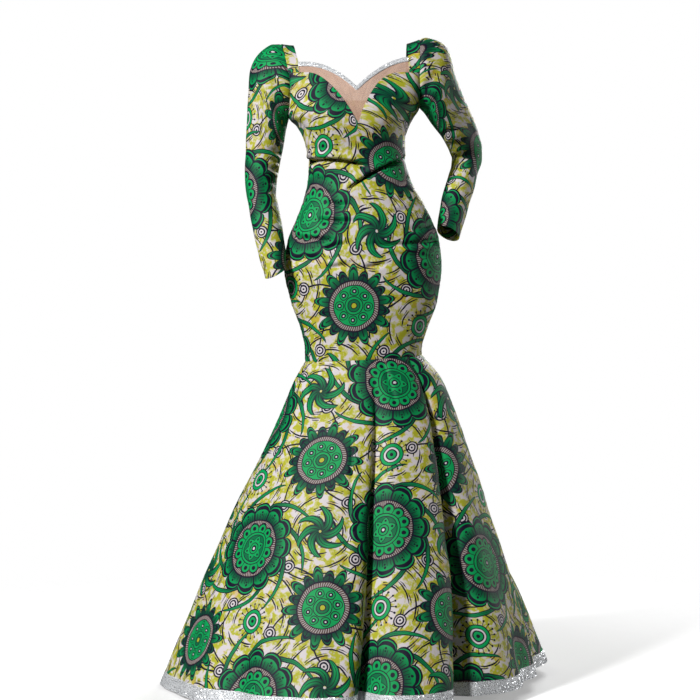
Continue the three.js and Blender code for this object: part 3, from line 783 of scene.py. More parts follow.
TAU = 2 * math.pi
EMERALD = ink(0, 165, 88)
LEAF = ink(0, 112, 68)
PINE = ink(0, 52, 44)
NAVY = ink(20, 17, 42)
CREAM = ink(222, 214, 216)
LIME = ink(184, 184, 46)
PALE_LIME = ink(208, 204, 128)
OCHRE = ink(208, 172, 62)
BROWN = ink(92, 72, 64)
Rings = tuple[tuple[float, Colour], ...]
SHADE_STRENGTH = 0.9
HATCH_STRENGTH = 0.62
BUD_EYE = ((15.0, NAVY), (11.8, CREAM), (9.6, NAVY), (6.0, CREAM), (2.4, NAVY))
BEADED_EYE = ((27.0, NAVY), (24.6, EMERALD), (18.5, NAVY), (16.6, CREAM), (12.6, NAVY), (9.6, EMERALD),
              (4.0, NAVY))


@dataclass(frozen=True)
class Motif:
    """One kind of motif: where each point lies from its nearest centre, in mm and in turns."""

    radius: Value
    turn: Value

    def petal(self, count: int, offset: float = 0.0) -> Value:
        """Place across a petal, from 0 on its middle line to 1 at its sides."""
        sector = (self.turn * count + offset).math("FRACT") - 0.5
        return sector.math("ABSOLUTE") * 2

    def width(self, petal: Value, count: int) -> Value:
        """Distance in mm from a petal's middle line."""
        return petal * self.radius * (math.pi / count)

    def dots(self, count: int, ring: float, size: float, offset: float = 0.0) -> Value:
        """Mask of round dots on a ring."""
        aside = self.width(self.petal(count, offset), count)
        away = self.radius - ring
        return (aside * aside + away * away) < size * size


def discs(shade: Shade, radius: Value, rings: Rings) -> None:
    """Paints discs inside one another, the largest first."""
    for size, colour in rings:
        shade.lay(colour, radius < size)


@dataclass(frozen=True)
class Rosette:
    """The largest motif: a tier of round petals, a hatched band, a tier of scales and a star.

    Sizes are in mm. Of a pair for petals, scales, crescents and star the first is the radius of their feet,
    the second how far their tips reach past it.
    """

    petals: int = 12
    petal: Point = (83, 19)
    petal_gap: float = 2.0
    petal_shade: Point = (66, 96)
    crescent: Point = (77.5, 13)
    crescent_margin: float = 2.6
    veins: tuple[float, float, float] = (2.5, 0.62, 0.09)
    vein_reach: float = 81
    petal_dots: tuple[Point, ...] = ((84, 2.8), (77.5, 2.2))
    band: Rings = ((67, NAVY), (64, BROWN))
    hatches: int = 84
    hatch_share: float = 0.34
    hatch_radii: Point = (54.5, 63.4)
    scales: Point = (41, 15)
    scale_gap: float = 0.8
    scale_dots: Point = (46.5, 4.8)
    dome: Rings = ((38.0, NAVY), (35.8, EMERALD), (31.5, NAVY), (29.6, LEAF))
    points: int = 6
    star: Point = (17, 11)
    star_line: float = 1.8
    star_dots: Point = (20.5, 2.6)
    heart: Rings = ((13.0, NAVY), (11.0, EMERALD), (6.8, NAVY), (3.2, CREAM))

    def paint(self, shade: Shade, motif: Motif, line: float) -> None:
        """Paints the rosette from its petals to its heart, with outlines of that width."""
        r, count = motif.radius, self.petals
        petal = motif.petal(count)
        round_tip = (1 - petal * petal).root()
        aside = motif.width(1 - petal, count)
        edge = round_tip * self.petal[1] + self.petal[0]
        shade.lay(NAVY, r < edge + line)
        shade.lay(EMERALD, (r < edge) * (aside > self.petal_gap))
        shade.lay(PINE, (1 - r.step(*self.petal_shade)) * (aside > self.petal_gap) * SHADE_STRENGTH)
        hollow = round_tip * self.crescent[1] + self.crescent[0]
        shade.lay(NAVY, (r < edge - self.crescent_margin) * (r > hollow))
        spread, centre, half = self.veins
        veins = ((petal * spread).math("FRACT") - centre).math("ABSOLUTE") < half
        shade.lay(NAVY, veins * (r < self.vein_reach))
        for ring, size in self.petal_dots:
            shade.lay(NAVY, motif.dots(count, ring, size))
        discs(shade, r, self.band)
        low, high = self.hatch_radii
        hatch = motif.petal(self.hatches) < self.hatch_share
        shade.lay(CREAM, hatch * (r < high) * (r > low) * HATCH_STRENGTH)
        inner = motif.petal(count, 0.5)
        tier = (1 - inner * inner).root() * self.scales[1] + self.scales[0]
        shade.lay(NAVY, r < tier + line)
        shade.lay(EMERALD, (r < tier) * (motif.width(1 - inner, count) > self.scale_gap))
        shade.lay(NAVY, motif.dots(count, *self.scale_dots, 0.5))
        discs(shade, r, self.dome)
        point = (1 - motif.petal(self.points)) * self.star[1] + self.star[0]
        shade.lay(NAVY, r < point + self.star_line)
        shade.lay(EMERALD, r < point)
        shade.lay(NAVY, motif.dots(self.points, *self.star_dots))
        discs(shade, r, self.heart)


@dataclass(frozen=True)
class Sunburst:
    """Second motif: long and short pointed petals around a hatched band and a dome with eyes.

    Sizes are in mm. Longer is how much further every second petal reaches.
    """

    petals: int = 18
    petal: Point = (62, 16)
    longer: float = 12
    petal_gap: float = 1.2
    petal_shade: Point = (57, 90)
    crescent: Point = (60, 9)
    crescent_margin: float = 2.8
    vein: float = 1.1
    vein_reach: float = 74
    band: Rings = ((59, NAVY), (56, BROWN))
    hatches: int = 66
    hatch_lean: float = 0.07
    hatch_share: float = 0.62
    hatch_radius: float = 55.2
    disc: Rings = ((47, NAVY), (45, EMERALD))
    eyes: tuple[int, float] = (8, 32.5)
    eye: Rings = ((10.6, NAVY), (8.8, EMERALD), (5.4, NAVY), (2.0, CREAM))
    dome: Rings = ((21.0, NAVY), (19.0, EMERALD), (14.6, NAVY), (12.8, LEAF), (7.5, NAVY), (5.5, LIME))

    def paint(self, shade: Shade, motif: Motif, line: float) -> None:
        """Paints the sunburst from its petals to its middle, with outlines of that width."""
        r, count = motif.radius, self.petals
        petal = motif.petal(count)
        long_one = (motif.turn * count * 0.5).math("FRACT") > 0.5
        shape = 1 - petal * petal
        edge = shape * (long_one * self.longer + self.petal[1]) + self.petal[0]
        shade.lay(NAVY, r < edge + line)
        inside = (r < edge) * (motif.width(1 - petal, count) > self.petal_gap)
        shade.lay(LEAF, inside)
        shade.lay(EMERALD, inside * long_one)
        shade.lay(PINE, (1 - r.step(*self.petal_shade)) * inside * SHADE_STRENGTH)
        hollow = shape * (long_one * self.longer + self.crescent[1]) + self.crescent[0]
        shade.lay(NAVY, (r < edge - self.crescent_margin) * (r > hollow))
        shade.lay(NAVY, (motif.width(petal, count) < self.vein) * (r < self.vein_reach))
        discs(shade, r, self.band)
        slant = (motif.turn * self.hatches + r * self.hatch_lean).math("FRACT") > self.hatch_share
        shade.lay(CREAM, (r < self.hatch_radius) * slant * HATCH_STRENGTH)
        discs(shade, r, self.disc)
        for size, colour in self.eye:
            shade.lay(colour, motif.dots(*self.eyes, size))
        discs(shade, r, self.dome)


@dataclass(frozen=True)
class WaxPrint:
    """Cotton with a printed all-over design: rosettes, sunbursts, leaf whorls and beaded rings.

    The sizes are in mm on the cloth. Repeat is the distance between two motifs of one kind.
    """

    repeat: float = 338.0
    line: float = 4.2
    wobble: float = 2.2
    thread: float = 0.55
    arc_spacing: float = 15.0
    arc_apart: float = 2.4
    arc_half: float = 1.7
    bead_pitch: float = 5.2
    arc_count: int = 4
    arc_lag: float = 2.1
    arc_fill: float = 0.15
    bead_half: float = 1.15
    bead_from: float = 0.4
    stem: float = 2.3
    leaf_edge: float = 0.8
    leaf_middle: float = 0.62
    leaf_shade: Point = (0.05, 0.8)
    leaf_shade_strength: float = 0.85
    midrib: float = 0.9
    rays: int = 18
    ray: Point = (0.9, 36)
    ray_bead: Point = (37, 2.4)
    kind_seed: Point = (7, 3)
    pale_lime: Point = (0.44, 0.49)
    lime: Point = (0.49, 0.55)
    clearing_scale: float = 135.0
    clearing: Point = (0.2, 0.45)
    clearing_strength: float = 0.45
    cloud: Point = (0.60, 0.68)
    cloud_strength: float = 0.6
    drift_scale: float = 28.0
    crush_scale: float = 60.0
    weave_height: float = 0.12
    relief: Point = (0.0006, 0.5)
    rough: Point = (0.16, 0.46)

    def centres(self, shade: Shade, x: Value, y: Value, at: Point) -> Motif:
        """The motif kind whose centres stand at a share of the repeat, each turned its own way."""
        u = x / self.repeat + at[0]
        v = y / self.repeat + at[1]
        column = u.math("FLOOR")
        row = v.math("FLOOR")
        dx = (u - column - 0.5) * self.repeat
        dy = (v - row - 0.5) * self.repeat
        cell = shade.vector(column, row, self.kind_seed[0] * at[0] + self.kind_seed[1] * at[1])
        noise = shade.node("ShaderNodeTexWhiteNoise", {"noise_dimensions": "3D"}, {"Vector": cell})
        return Motif((dx * dx + dy * dy).root(), dy.math("ARCTAN2", dx) / TAU + shade.value(noise))

    def ground(self, shade: Shade, at: bpy.types.NodeSocket) -> None:
        """Mottled cream and lime with small pale clearings and a few ochre clouds."""
        shade.colour = CREAM
        blotch = shade.noise(at, scale=58.0, detail=3.0, distortion=0.4)
        shade.lay(PALE_LIME, blotch.step(*self.pale_lime))
        shade.lay(LIME, blotch.step(*self.lime))
        cells = shade.node("ShaderNodeTexVoronoi", inputs={"Vector": at, "Scale": self.clearing_scale})
        clearing = 1 - shade.value(cells).step(*self.clearing)
        shade.lay(CREAM, clearing * self.clearing_strength)
        cloud = shade.noise(at, scale=39.0, detail=2.0, distortion=0.3)
        shade.lay(OCHRE, cloud.step(*self.cloud) * self.cloud_strength)

    def sweeps(self, shade: Shade, motif: Motif, others: tuple[Motif, ...], inner: float) -> None:
        """Broken arcs around a motif, each a tapered line with a row of dots beside it.

        Args:
            shade: the material.
            motif: what the arcs run around.
            others: motifs that keep the arcs off the ground nearer to them.
            inner: radius inside which there are none.
        """
        ring = motif.radius / self.arc_spacing
        number = ring.math("FLOOR")
        offset = (ring - number - 0.5) * self.arc_spacing
        swing = (motif.turn * (self.arc_count * TAU) + number * self.arc_lag).math("SINE")
        taper = (swing + self.arc_fill).math("MAXIMUM", 0.0).root()
        line = (offset + self.arc_apart).math("ABSOLUTE") < taper * self.arc_half
        beads = (motif.turn * motif.radius * (TAU / self.bead_pitch)).math("SINE") > 0.0
        beside = (offset - self.arc_apart).math("ABSOLUTE") < self.bead_half
        row = beside * beads * (taper > self.bead_from)
        mine = motif.radius > inner
        for other in others:
            mine = mine * (motif.radius < other.radius)
        shade.lay(NAVY, line.math("MAXIMUM", row) * mine)

    def leaves(self, shade: Shade, motif: Motif, count: int, reach: Point, plump: float,
               swirl: float) -> None:
        """Long curved leaves with a midrib, that grow out from under a motif."""
        low, high = reach
        swept = Motif(motif.radius, motif.turn + motif.radius * swirl)
        aside = swept.width(swept.petal(count), count)
        along = (motif.radius - low) / (high - low)
        inside = (along > 0) * (along < 1)
        shape = (along * math.pi).math("SINE").root() * plump
        shade.lay(NAVY, (aside < shape + self.line * self.leaf_edge) * inside)
        shade.lay(LEAF, (aside < shape) * inside)
        shade.lay(EMERALD, (aside < shape * self.leaf_middle) * inside)
        dark = 1 - along.step(*self.leaf_shade)
        shade.lay(PINE, dark * (aside < shape) * inside * self.leaf_shade_strength)
        shade.lay(NAVY, (aside < self.midrib) * inside)

    def buds(self, shade: Shade, motif: Motif, count: int, ring: float, swirl: float) -> None:
        """Curved stems that end in round buds."""
        swept = Motif(motif.radius, motif.turn + motif.radius * swirl)
        aside = swept.width(swept.petal(count, 0.25), count)
        shade.lay(NAVY, (aside < self.stem) * (motif.radius < ring))
        turned = Motif(motif.radius, motif.turn + ring * swirl)
        for size, colour in BUD_EYE:
            shade.lay(colour, turned.dots(count, ring, size, 0.25))

    def beaded_ring(self, shade: Shade, motif: Motif) -> None:
        """Small motif: a round eye with rays that end in beads."""
        r, rays = motif.radius, self.rays
        half, reach = self.ray
        shade.lay(NAVY, (motif.width(motif.petal(rays), rays) < half) * (r < reach))
        shade.lay(NAVY, motif.dots(rays, *self.ray_bead))
        discs(shade, r, BEADED_EYE)

    def material(self) -> bpy.types.Material:
        """The whole cloth: design, weave and a slight gloss from the finishing press."""
        shade = Shade("wax_print")
        cut = shade.cut_place()
        inputs = {"Vector": cut, "Scale": self.drift_scale}
        drift = shade.node("ShaderNodeTexNoise", {"noise_dimensions": "2D"}, inputs)
        hand = shade.stray(cut, drift.outputs["Color"], self.wobble * MM * 2)
        x, y, _ = shade.place(hand, 1 / MM)
        rosettes = self.centres(shade, x, y, (0.0, 0.0))
        sunbursts = self.centres(shade, x, y, (0.5, 0.5))
        whorls = self.centres(shade, x, y, (0.5, 0.0))
        rings = self.centres(shade, x, y, (0.0, 0.5))
        self.ground(shade, cut)
        self.sweeps(shade, whorls, (rings,), inner=30)
        self.sweeps(shade, rings, (whorls,), inner=44)
        self.buds(shade, sunbursts, count=5, ring=126, swirl=-0.0011)
        self.leaves(shade, rosettes, count=8, reach=(84, 152), plump=8.0, swirl=0.0024)
        self.leaves(shade, whorls, count=6, reach=(3, 58), plump=9.0, swirl=-0.0042)
        self.beaded_ring(shade, rings)
        Sunburst().paint(shade, sunbursts, self.line)
        Rosette().paint(shade, rosettes, self.line)
        u, v, _ = shade.place(cut, 1 / MM)
        weave = (u * (TAU / self.thread)).math("SINE") * (v * (TAU / self.thread)).math("SINE")
        crush = shade.noise(cut, self.crush_scale, detail=3.0)
        relief = shade.bump(weave * self.weave_height + crush, *self.relief)
        rough = crush * self.rough[0] + self.rough[1]
        return shade.finish(Roughness=rough, Normal=relief, Specular_IOR_Level=0.2, Sheen_Weight=0.03)


@dataclass(frozen=True)
class SheerNet:
    """Fine skin-toned net that lets part of the light through."""

    hole: float = 1.5
    uneven: float = 0.15
    thread: Point = (0.1, 0.24)
    cover: float = 0.42
    skin: Colour = ink(214, 176, 152)
    skin_shade: Colour = ink(186, 146, 124)
    shade_scale: float = 40.0
    shade_step: Point = (0.35, 0.75)
    shade_strength: float = 0.6

    def material(self) -> bpy.types.Material:
        """Threads around open cells."""
        shade = Shade("sheer_net")
        cut = shade.cut_place()
        cells = shade.node("ShaderNodeTexVoronoi", {"feature": "DISTANCE_TO_EDGE"},
                           {"Vector": cut, "Scale": 1 / (self.hole * MM), "Randomness": self.uneven})
        threads = 1 - shade.value(cells).step(*self.thread)
        shade.colour = self.skin
        dark = shade.noise(cut, self.shade_scale).step(*self.shade_step)
        shade.lay(self.skin_shade, dark * self.shade_strength)
        opacity = threads * (1 - self.cover) + self.cover
        return shade.finish(Alpha=opacity, Roughness=0.85, Sheen_Weight=0.2)


@dataclass(frozen=True)
class Glitter:
    """Silver-white ribbon under a coat of tiny flakes."""

    name: str = "glitter_ribbon"
    flake: float = 0.9
    flatness: float = 0.55
    silver: Colour = ink(230, 233, 236)
    bright: Colour = ink(250, 251, 252)
    bright_step: Point = (0.35, 0.8)
    dull: Colour = ink(178, 184, 191)
    dull_from: float = 0.82
    dull_strength: float = 0.8
    metal: float = 0.35
    rough: Point = (0.25, 0.28)

    def material(self) -> bpy.types.Material:
        """Each flake tilts its own way."""
        shade = Shade(self.name)
        cut = shade.cut_place()
        flakes = shade.node("ShaderNodeTexVoronoi", inputs={"Vector": cut, "Scale": 1 / (self.flake * MM)})
        chance = flakes.outputs["Color"]
        red, green, _ = shade.place(chance)
        shade.colour = self.silver
        shade.lay(self.bright, red.step(*self.bright_step))
        shade.lay(self.dull, (green > self.dull_from) * self.dull_strength)
        facing = shade.node("ShaderNodeNewGeometry").outputs["Normal"]
        leaned = shade.stray(facing, chance, self.flatness)
        normal = shade.node("ShaderNodeVectorMath", {"operation": "NORMALIZE"}, {0: leaned})
        rough = red * self.rough[0] + self.rough[1]
        return shade.finish(Normal=normal.outputs[0], Metallic=green * self.metal, Roughness=rough)


@dataclass(frozen=True)
class Plain:
    """A plain finish with a slight unevenness: thread, foil flakes or enamelled metal."""

    name: str
    colour: Colour
    roughness: float
    metallic: float = 0.0
    grain: float = 900.0
    dark: float = 0.7
    dark_step: Point = (0.4, 0.8)
    dark_strength: float = 0.6
    uneven: float = 0.15
    relief: Point = (0.0002, 0.4)

    def material(self) -> bpy.types.Material:
        """Colour, gloss and grain."""
        shade = Shade(self.name)
        at = shade.node("ShaderNodeTexCoord").outputs["Object"]
        grain = shade.noise(at, self.grain, 3.0)
        shade.colour = self.colour
        dark = tuple(part * self.dark for part in self.colour[:3]) + (1.0,)
        shade.lay(dark, grain.step(*self.dark_step) * self.dark_strength)
        rough = grain * self.uneven + self.roughness
        relief = shade.bump(grain, *self.relief)
        return shade.finish(Roughness=rough, Metallic=self.metallic, Normal=relief)


THREAD = Plain("thread_green", ink(20, 96, 62), 0.6)
SILVER_THREAD = Plain("thread_silver", ink(206, 210, 214), 0.45)
FOIL = Plain("foil_flakes", ink(240, 242, 245), 0.16, 0.85)
ENAMEL = Plain("zip_enamel", ink(26, 92, 60), 0.3, 0.25, 300.0)
NYLON = Plain("zip_nylon", ink(24, 84, 56), 0.4)


def dress_piece(piece: bpy.types.Object, material: bpy.types.Material, body: str = DRESS,
                replaces: tuple[str, ...] = ()) -> bpy.types.Object:
    """Gives a piece its material and body, and hides the solids that it stands for."""
    piece.data.materials.clear()
    piece.data.materials.append(material)
    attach(piece, body)
    if replaces:
        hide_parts(*replaces)
    triangles = sum(len(face.vertices) - 2 for face in piece.data.polygons)
    LOG.info("%s: %d triangles", piece.name, triangles)
    return piece


def cut_piece(name: str, cloth: Cloth, wall: Array | float, lay: Lay, material: bpy.types.Material,
              node: str) -> bpy.types.Object:
    """Makes one cut of cloth.

    Args:
        name: the piece's name.
        cloth: the surface through the middle of its wall.
        wall: its thickness, for all of it or for each row.
        lay: how it was laid on the printed cloth.
        material: its finish.
        node: the solid that it stands for.

    Returns:
        The piece.
    """
    piece = dress_piece(cloth_piece(name, cloth, wall, lay), material, replaces=(node,))
    flat, area = cloth.cut_size()
    return piece


# What repeats along a line or over a surface


class Scatter(Tree):
    """Base of the Geometry Nodes trees: named inputs, and a plain mesh at the end."""

    def __init__(self, name: str, sizes: dict[str, float]) -> None:
        """Makes a tree with a Geometry input and a number input for each size."""
        group = bpy.data.node_groups.new(name, "GeometryNodeTree")
        super().__init__(group)
        group.interface.new_socket("Geometry", in_out="INPUT", socket_type="NodeSocketGeometry")
        group.interface.new_socket("Geometry", in_out="OUTPUT", socket_type="NodeSocketGeometry")
        self.sizes = sizes
        self.keys = {}
        for label in sizes:
            socket = group.interface.new_socket(label, in_out="INPUT", socket_type="NodeSocketFloat")
            self.keys[label] = socket.identifier
        self.start = self.node("NodeGroupInput")

    def size(self, label: str) -> Value:
        """One of the named inputs."""
        return Value(self, self.start.outputs[label])

    def along(self) -> bpy.types.Node:
        """Places along the carrier's line, a pitch apart."""
        curve = self.node("GeometryNodeMeshToCurve", inputs={0: self.start.outputs[0]})
        inputs = {"Curve": curve.outputs[0], "Length": self.size("Pitch")}
        return self.node("GeometryNodeCurveToPoints", {"mode": "LENGTH"}, inputs)

    def close(self, points: bpy.types.NodeSocket, shape: bpy.types.NodeSocket, turn: bpy.types.NodeSocket,
              scale: bpy.types.NodeSocket, material: bpy.types.Material) -> None:
        """Puts the shape on every point, makes it real and gives it its material."""
        inputs = {"Points": points, "Instance": shape, "Rotation": turn, "Scale": scale}
        placed = self.node("GeometryNodeInstanceOnPoints", inputs=inputs)
        real = self.node("GeometryNodeRealizeInstances", inputs={0: placed.outputs[0]})
        inputs = {"Geometry": real.outputs[0], "Material": material}
        coated = self.node("GeometryNodeSetMaterial", inputs=inputs)
        self.node("NodeGroupOutput", inputs={0: coated.outputs[0]})

    def grow(self, name: str, carrier: bpy.types.Object) -> bpy.types.Object:
        """Runs the tree on a carrier, which is then removed.

        Args:
            name: the new piece's name.
            carrier: the line or surface that the tree reads.

        Returns:
            The plain mesh.
        """
        modifier = carrier.modifiers.new("scatter", "NODES")
        modifier.node_group = self.tree
        for label, value in self.sizes.items():
            modifier[self.keys[label]] = float(value)
        carrier.update_tag()
        mesh = evaluated(carrier, name)
        bpy.data.objects.remove(carrier)
        return linked(name, mesh)


def path_object(name: str, points: Array) -> bpy.types.Object:
    """A line of edges through points in mm."""
    mesh = bpy.data.meshes.new(name)
    edges = [(i, i + 1) for i in range(len(points) - 1)]
    mesh.from_pydata((points * MM).tolist(), edges, [])
    return linked(name, mesh)


@dataclass(frozen=True)
class StitchRow:
    """A row of machine stitches along a line, in mm."""

    length: float = 2.5
    pitch: float = 3.3
    thick: float = 0.5

    def sew(self, name: str, points: Array, thread: Plain) -> bpy.types.Object:
        """Sews along the points and returns the stitches as one piece."""
        sizes = {"Pitch": self.pitch * MM, "Length": self.length * MM, "Thick": self.thick * MM}
        tree = Scatter(name + "_tree", sizes)
        spots = tree.along()
        bead = tree.node("GeometryNodeMeshIcoSphere", inputs={"Radius": 1.0, "Subdivisions": 1})
        half = tree.size("Thick") * 0.5
        scale = tree.vector(half, half, tree.size("Length") * 0.5)
        material = bpy.data.materials.get(thread.name) or thread.material()
        tree.close(spots.outputs["Points"], bead.outputs[0], spots.outputs["Rotation"], scale, material)
        return dress_piece(tree.grow(name, path_object(name + "_path", points)), material)


@dataclass(frozen=True)
class FlakeCoat:
    """Loose glitter flakes on a surface: how many on a square metre, and their size in mm."""

    density: float = 120000.0
    radius: float = 0.85
    tilt: float = 0.5
    corners: int = 6
    spread: Point = (0.55, 1.1)
    lift: float = 0.25

    def coat(self, name: str, cloth: Cloth, seed: int) -> bpy.types.Object:
        """Scatters flakes over the outside of a ribbon and returns them as one piece."""
        sizes = {"Density": self.density, "Radius": self.radius * MM, "Tilt": self.tilt}
        tree = Scatter(name + "_tree", sizes)
        inputs = {"Mesh": tree.start.outputs[0], "Density": tree.size("Density"), "Seed": seed}
        spots = tree.node("GeometryNodeDistributePointsOnFaces", inputs=inputs)
        lean = tree.size("Tilt")
        low = tree.vector(lean * -1, lean * -1, 0.0)
        high = tree.vector(lean, lean, TAU)
        chance = tree.node("FunctionNodeRandomValue", {"data_type": "FLOAT_VECTOR"},
                           {0: low, 1: high, "Seed": seed + 1})
        turn = tree.node("FunctionNodeEulerToRotation", inputs={0: chance.outputs[0]})
        leaned = tree.node("FunctionNodeRotateRotation", {"rotation_space": "LOCAL"},
                           {0: spots.outputs["Rotation"], 1: turn.outputs[0]})
        inputs = {"Vertices": self.corners, "Radius": tree.size("Radius")}
        flake = tree.node("GeometryNodeMeshCircle", {"fill_type": "NGON"}, inputs)
        inputs = {2: self.spread[0], 3: self.spread[1], "Seed": seed + 2}
        sizing = tree.node("FunctionNodeRandomValue", {"data_type": "FLOAT"}, inputs)
        spread = Value(tree, sizing.outputs[1])
        scale = tree.vector(spread, spread, spread)
        material = bpy.data.materials.get(FOIL.name) or FOIL.material()
        tree.close(spots.outputs["Points"], flake.outputs[0], leaned.outputs[0], scale, material)
        rows, columns = cloth.points.shape[:2]
        spans = columns if cloth.ring else columns - 1
        row, column = np.meshgrid(np.arange(rows - 1), np.arange(spans), indexing="ij")
        row, column = row.ravel(), column.ravel()
        following = (column + 1) % columns
        faces = np.stack([row * columns + column, row * columns + following,
                          (row + 1) * columns + following, (row + 1) * columns + column], axis=1)
        outer = cloth.points + cloth.normals() * (TRIM_WALL / 2 + self.lift)
        carrier = mesh_object(name + "_carrier", outer.reshape(-1, 3), faces)
        return dress_piece(tree.grow(name, carrier), material)


# The pieces of the dress

CLOTH_WALL = 1.1
MESH_WALL = 0.5
TRIM_WALL = 1.6
STITCH_LIFT = 0.2


def outside(cloth: Cloth, row: int | Array, wall: float) -> Array:
    """Points just outside a piece's wall along one of its rows."""
    lifted = cloth.points + cloth.normals() * (wall / 2 + STITCH_LIFT)
    return lifted[row]


def closed(line: Array) -> Array:
    """A line that comes back to its first point."""
    return np.concatenate([line, line[:1]])


@dataclass(frozen=True)
class Pleat:
    """A draped pleat of the bodice: a lip of cloth over a trough, along a line of X and Z."""

    path: tuple[Point, ...]
    lip: float
    lead: float = 8.0
    rise: float = 18.0
    trough: float = 6.0
    sunk: float = 2.4
    droop: float = 8.0
    fade: float = 40.0
    intake: float = 22.0
    slack: float = 110.0

    def above(self, x: Array, z: Array) -> Array:
        """Height over the pleat's line."""
        line = Table("x z", list(self.path))
        return z - line.read("z", x)

    def strength(self, x: Array) -> Array:
        """Share of the pleat's full depth over X: the first point lies on a side seam."""
        start, end = self.path[0][0], self.path[-1][0]
        run = math.copysign(1, end - start)
        return smooth((x - start) * run, -4, self.lead) * smooth((end - x) * run, 0, self.fade)

    def height(self, x: Array, z: Array) -> Array:
        """How far the pleat lifts or sinks the cloth."""
        above = self.above(x, z)
        lip = np.exp(-np.clip(above, 0, None) / self.rise)
        lip = lip * smooth(above, -self.trough / 2, self.trough / 2)
        hollow = self.sunk * bell(above + 1.1 * self.trough, self.trough)
        return self.lip * self.strength(x) * (lip - hollow)

    def hang(self, x: Array, z: Array) -> Array:
        """How far the lip hangs down over the trough."""
        above = self.above(x, z)
        near = np.where(above > 0, bell(above, 1.6 * self.trough), bell(above, 0.5 * self.trough))
        return self.droop * self.strength(x) * near

    def hidden(self, x: Array, z: Array) -> Array:
        """Length of cloth that the pleat takes up just below its line, and that eases out further down."""
        below = -self.above(x, z)
        eased = np.exp(-((np.clip(below, 0, None) / self.slack) ** 2))
        return self.intake * self.strength(x) * smooth(below, 0, 2.0 * self.trough) * eased


@dataclass(frozen=True)
class FrontPanel:
    """Front of the body, from the thigh seam to the sweetheart edge, with bust, pleats and drag lines."""

    rows: int = 236
    top_rows: int = 52
    neck_columns: int = 96
    strap_columns: int = 14
    lay: Lay = Lay(18, 60, 905)
    pleats: tuple[Pleat, ...] = (
        Pleat(((-118, -266), (-60, -270), (-13, -276), (32, -289)), 8.5, 16.0, sunk=2.6, droop=2.0),
        Pleat(((122, -257), (65, -284), (8, -318), (-31, -347)), 7.0, 44.0, trough=5.0, sunk=2.2, droop=3.0),
    )
    creases: tuple[Crease, ...] = (
        Crease((-66, -368), (-40, -378), (-4, -376), 5.5, 6.0, 0.2),
        Crease((-92, -408), (-40, -416), (26, -412), 6.5, 6.0, 0.2),
        Crease((-140, -450), (-88, -457), (-14, -462), 7.0, 6.5, 0.02),
        Crease((-72, -476), (-42, -470), (-2, -464), 6.0, 6.0, 0.2),
        Crease((186, -456), (84, -470), (4, -462), 7.0, 6.5, 0.02),
        Crease((-70, -522), (-38, -517), (4, -508), 5.5, 6.0),
        Crease((12, -521), (42, -517), (88, -508), 5.5, 6.0),
        Crease((182, -415), (144, -431), (100, -434), 4.4, 7.0, 0.02),
        Crease((-152, -507), (-104, -498), (-52, -508), 2.6, 7, 0.02),
        Crease((192, -507), (144, -494), (96, -499), 2.6, 7, 0.02),
        Crease((64, -398), (112, -388), (156, -370), 2.4, 6.0),
        Crease((-112, -300), (-81, -318), (-40, -324), 2.4, 7, 0.02),
        Crease((120, -310), (92, -337), (46, -362), 2.8, 8, 0.02),
        Crease((-110, -336), (-70, -350), (-24, -352), 1.6, 6, 0.02),
        Crease((141, -166), (112, -188), (76, -214), 2.4, 7, 0.05),
        Crease((-148, -186), (-120, -200), (-92, -232), 2.2, 7, 0.05),
        Crease((-120, -245), (-78, -250), (-20, -252), 1.8, 6, 0.05),
        Crease((-118, -640), (-70, -628), (-20, -634), 1.2, 8, 0.02),
        Crease((156, -650), (110, -634), (60, -640), 1.3, 8, 0.02),
    )
    sway: Point = (0.8, 34)
    stitches_down: float = 3.2

    def surface(self) -> Cloth:
        """Middle of the panel's wall."""
        low, high = neck_shares()
        stops = ((low, self.strap_columns), (high, self.neck_columns), (1, self.strap_columns))
        share = shares(*stops, start=-1.0)
        across = np.sin(share * math.pi / 2)[None, :]
        level = shares((1, self.rows), (2, self.top_rows))[:, None]
        bust_line = armpit_z(across) - 62 * (1 - across ** 2)
        bottom = thigh_z(body_point(across, np.full_like(across, THIGH_SECTION_Z), Facing.FRONT))
        rise = armhole_rise(across, SWEETHEART_SHOULDER_Z, np.clip(level - 1, 0, None))
        upper = mix(bust_line, bodice_edge_z(across), rise)
        z = np.where(level > 1, upper, mix(bottom, bust_line, level))
        points = body_point(across + 0 * z, z, Facing.FRONT)
        fade = smooth(1 - np.abs(across), 0, 0.04)
        points[..., 1] -= cup_height(points[..., 0], z) * fade + SEAM / 2
        return Cloth(points)

    def build(self, print_cloth: bpy.types.Material) -> bpy.types.Object:
        """Shapes, creases and dresses the panel."""
        cloth = self.surface()
        cloth.lay_flat(cloth.points.shape[1] // 2)
        x, z = cloth.points[..., 0], cloth.points[..., 2]
        relief = sum(pleat.height(x, z) for pleat in self.pleats)
        cloth.flat[..., 1] -= sum(pleat.hidden(x, z) for pleat in self.pleats)
        relief = relief + creased(cloth, self.creases)
        relief = relief + wander(cloth.points, *self.sway) + seam_relief(cloth, "left right bottom")
        cloth.lift(relief)
        cloth.points[..., 2] -= sum(pleat.hang(x, z) for pleat in self.pleats)
        piece = cut_piece("bodice_front", cloth, CLOTH_WALL, self.lay, print_cloth,
                          "front_panel")
        edge = outside(cloth, -1, CLOTH_WALL)[self.strap_columns:-self.strap_columns]
        edge = edge - np.array([0, 0, self.stitches_down])
        StitchRow().sew("stitches_sweetheart", edge, THREAD)
        return piece


def neck_shares() -> Point:
    """Column shares between which the net meets the bodice."""
    z = np.array(float(SWEETHEART_SHOULDER_Z))
    found = []
    for hole in (LEFT_HOLE, RIGHT_HOLE):
        x = hole.side_line(z)[0] + hole.inward * STRAP_FRONT
        found.append(float(np.arcsin(across_at(x, z)) / (math.pi / 2)))
    return found[0], found[1]


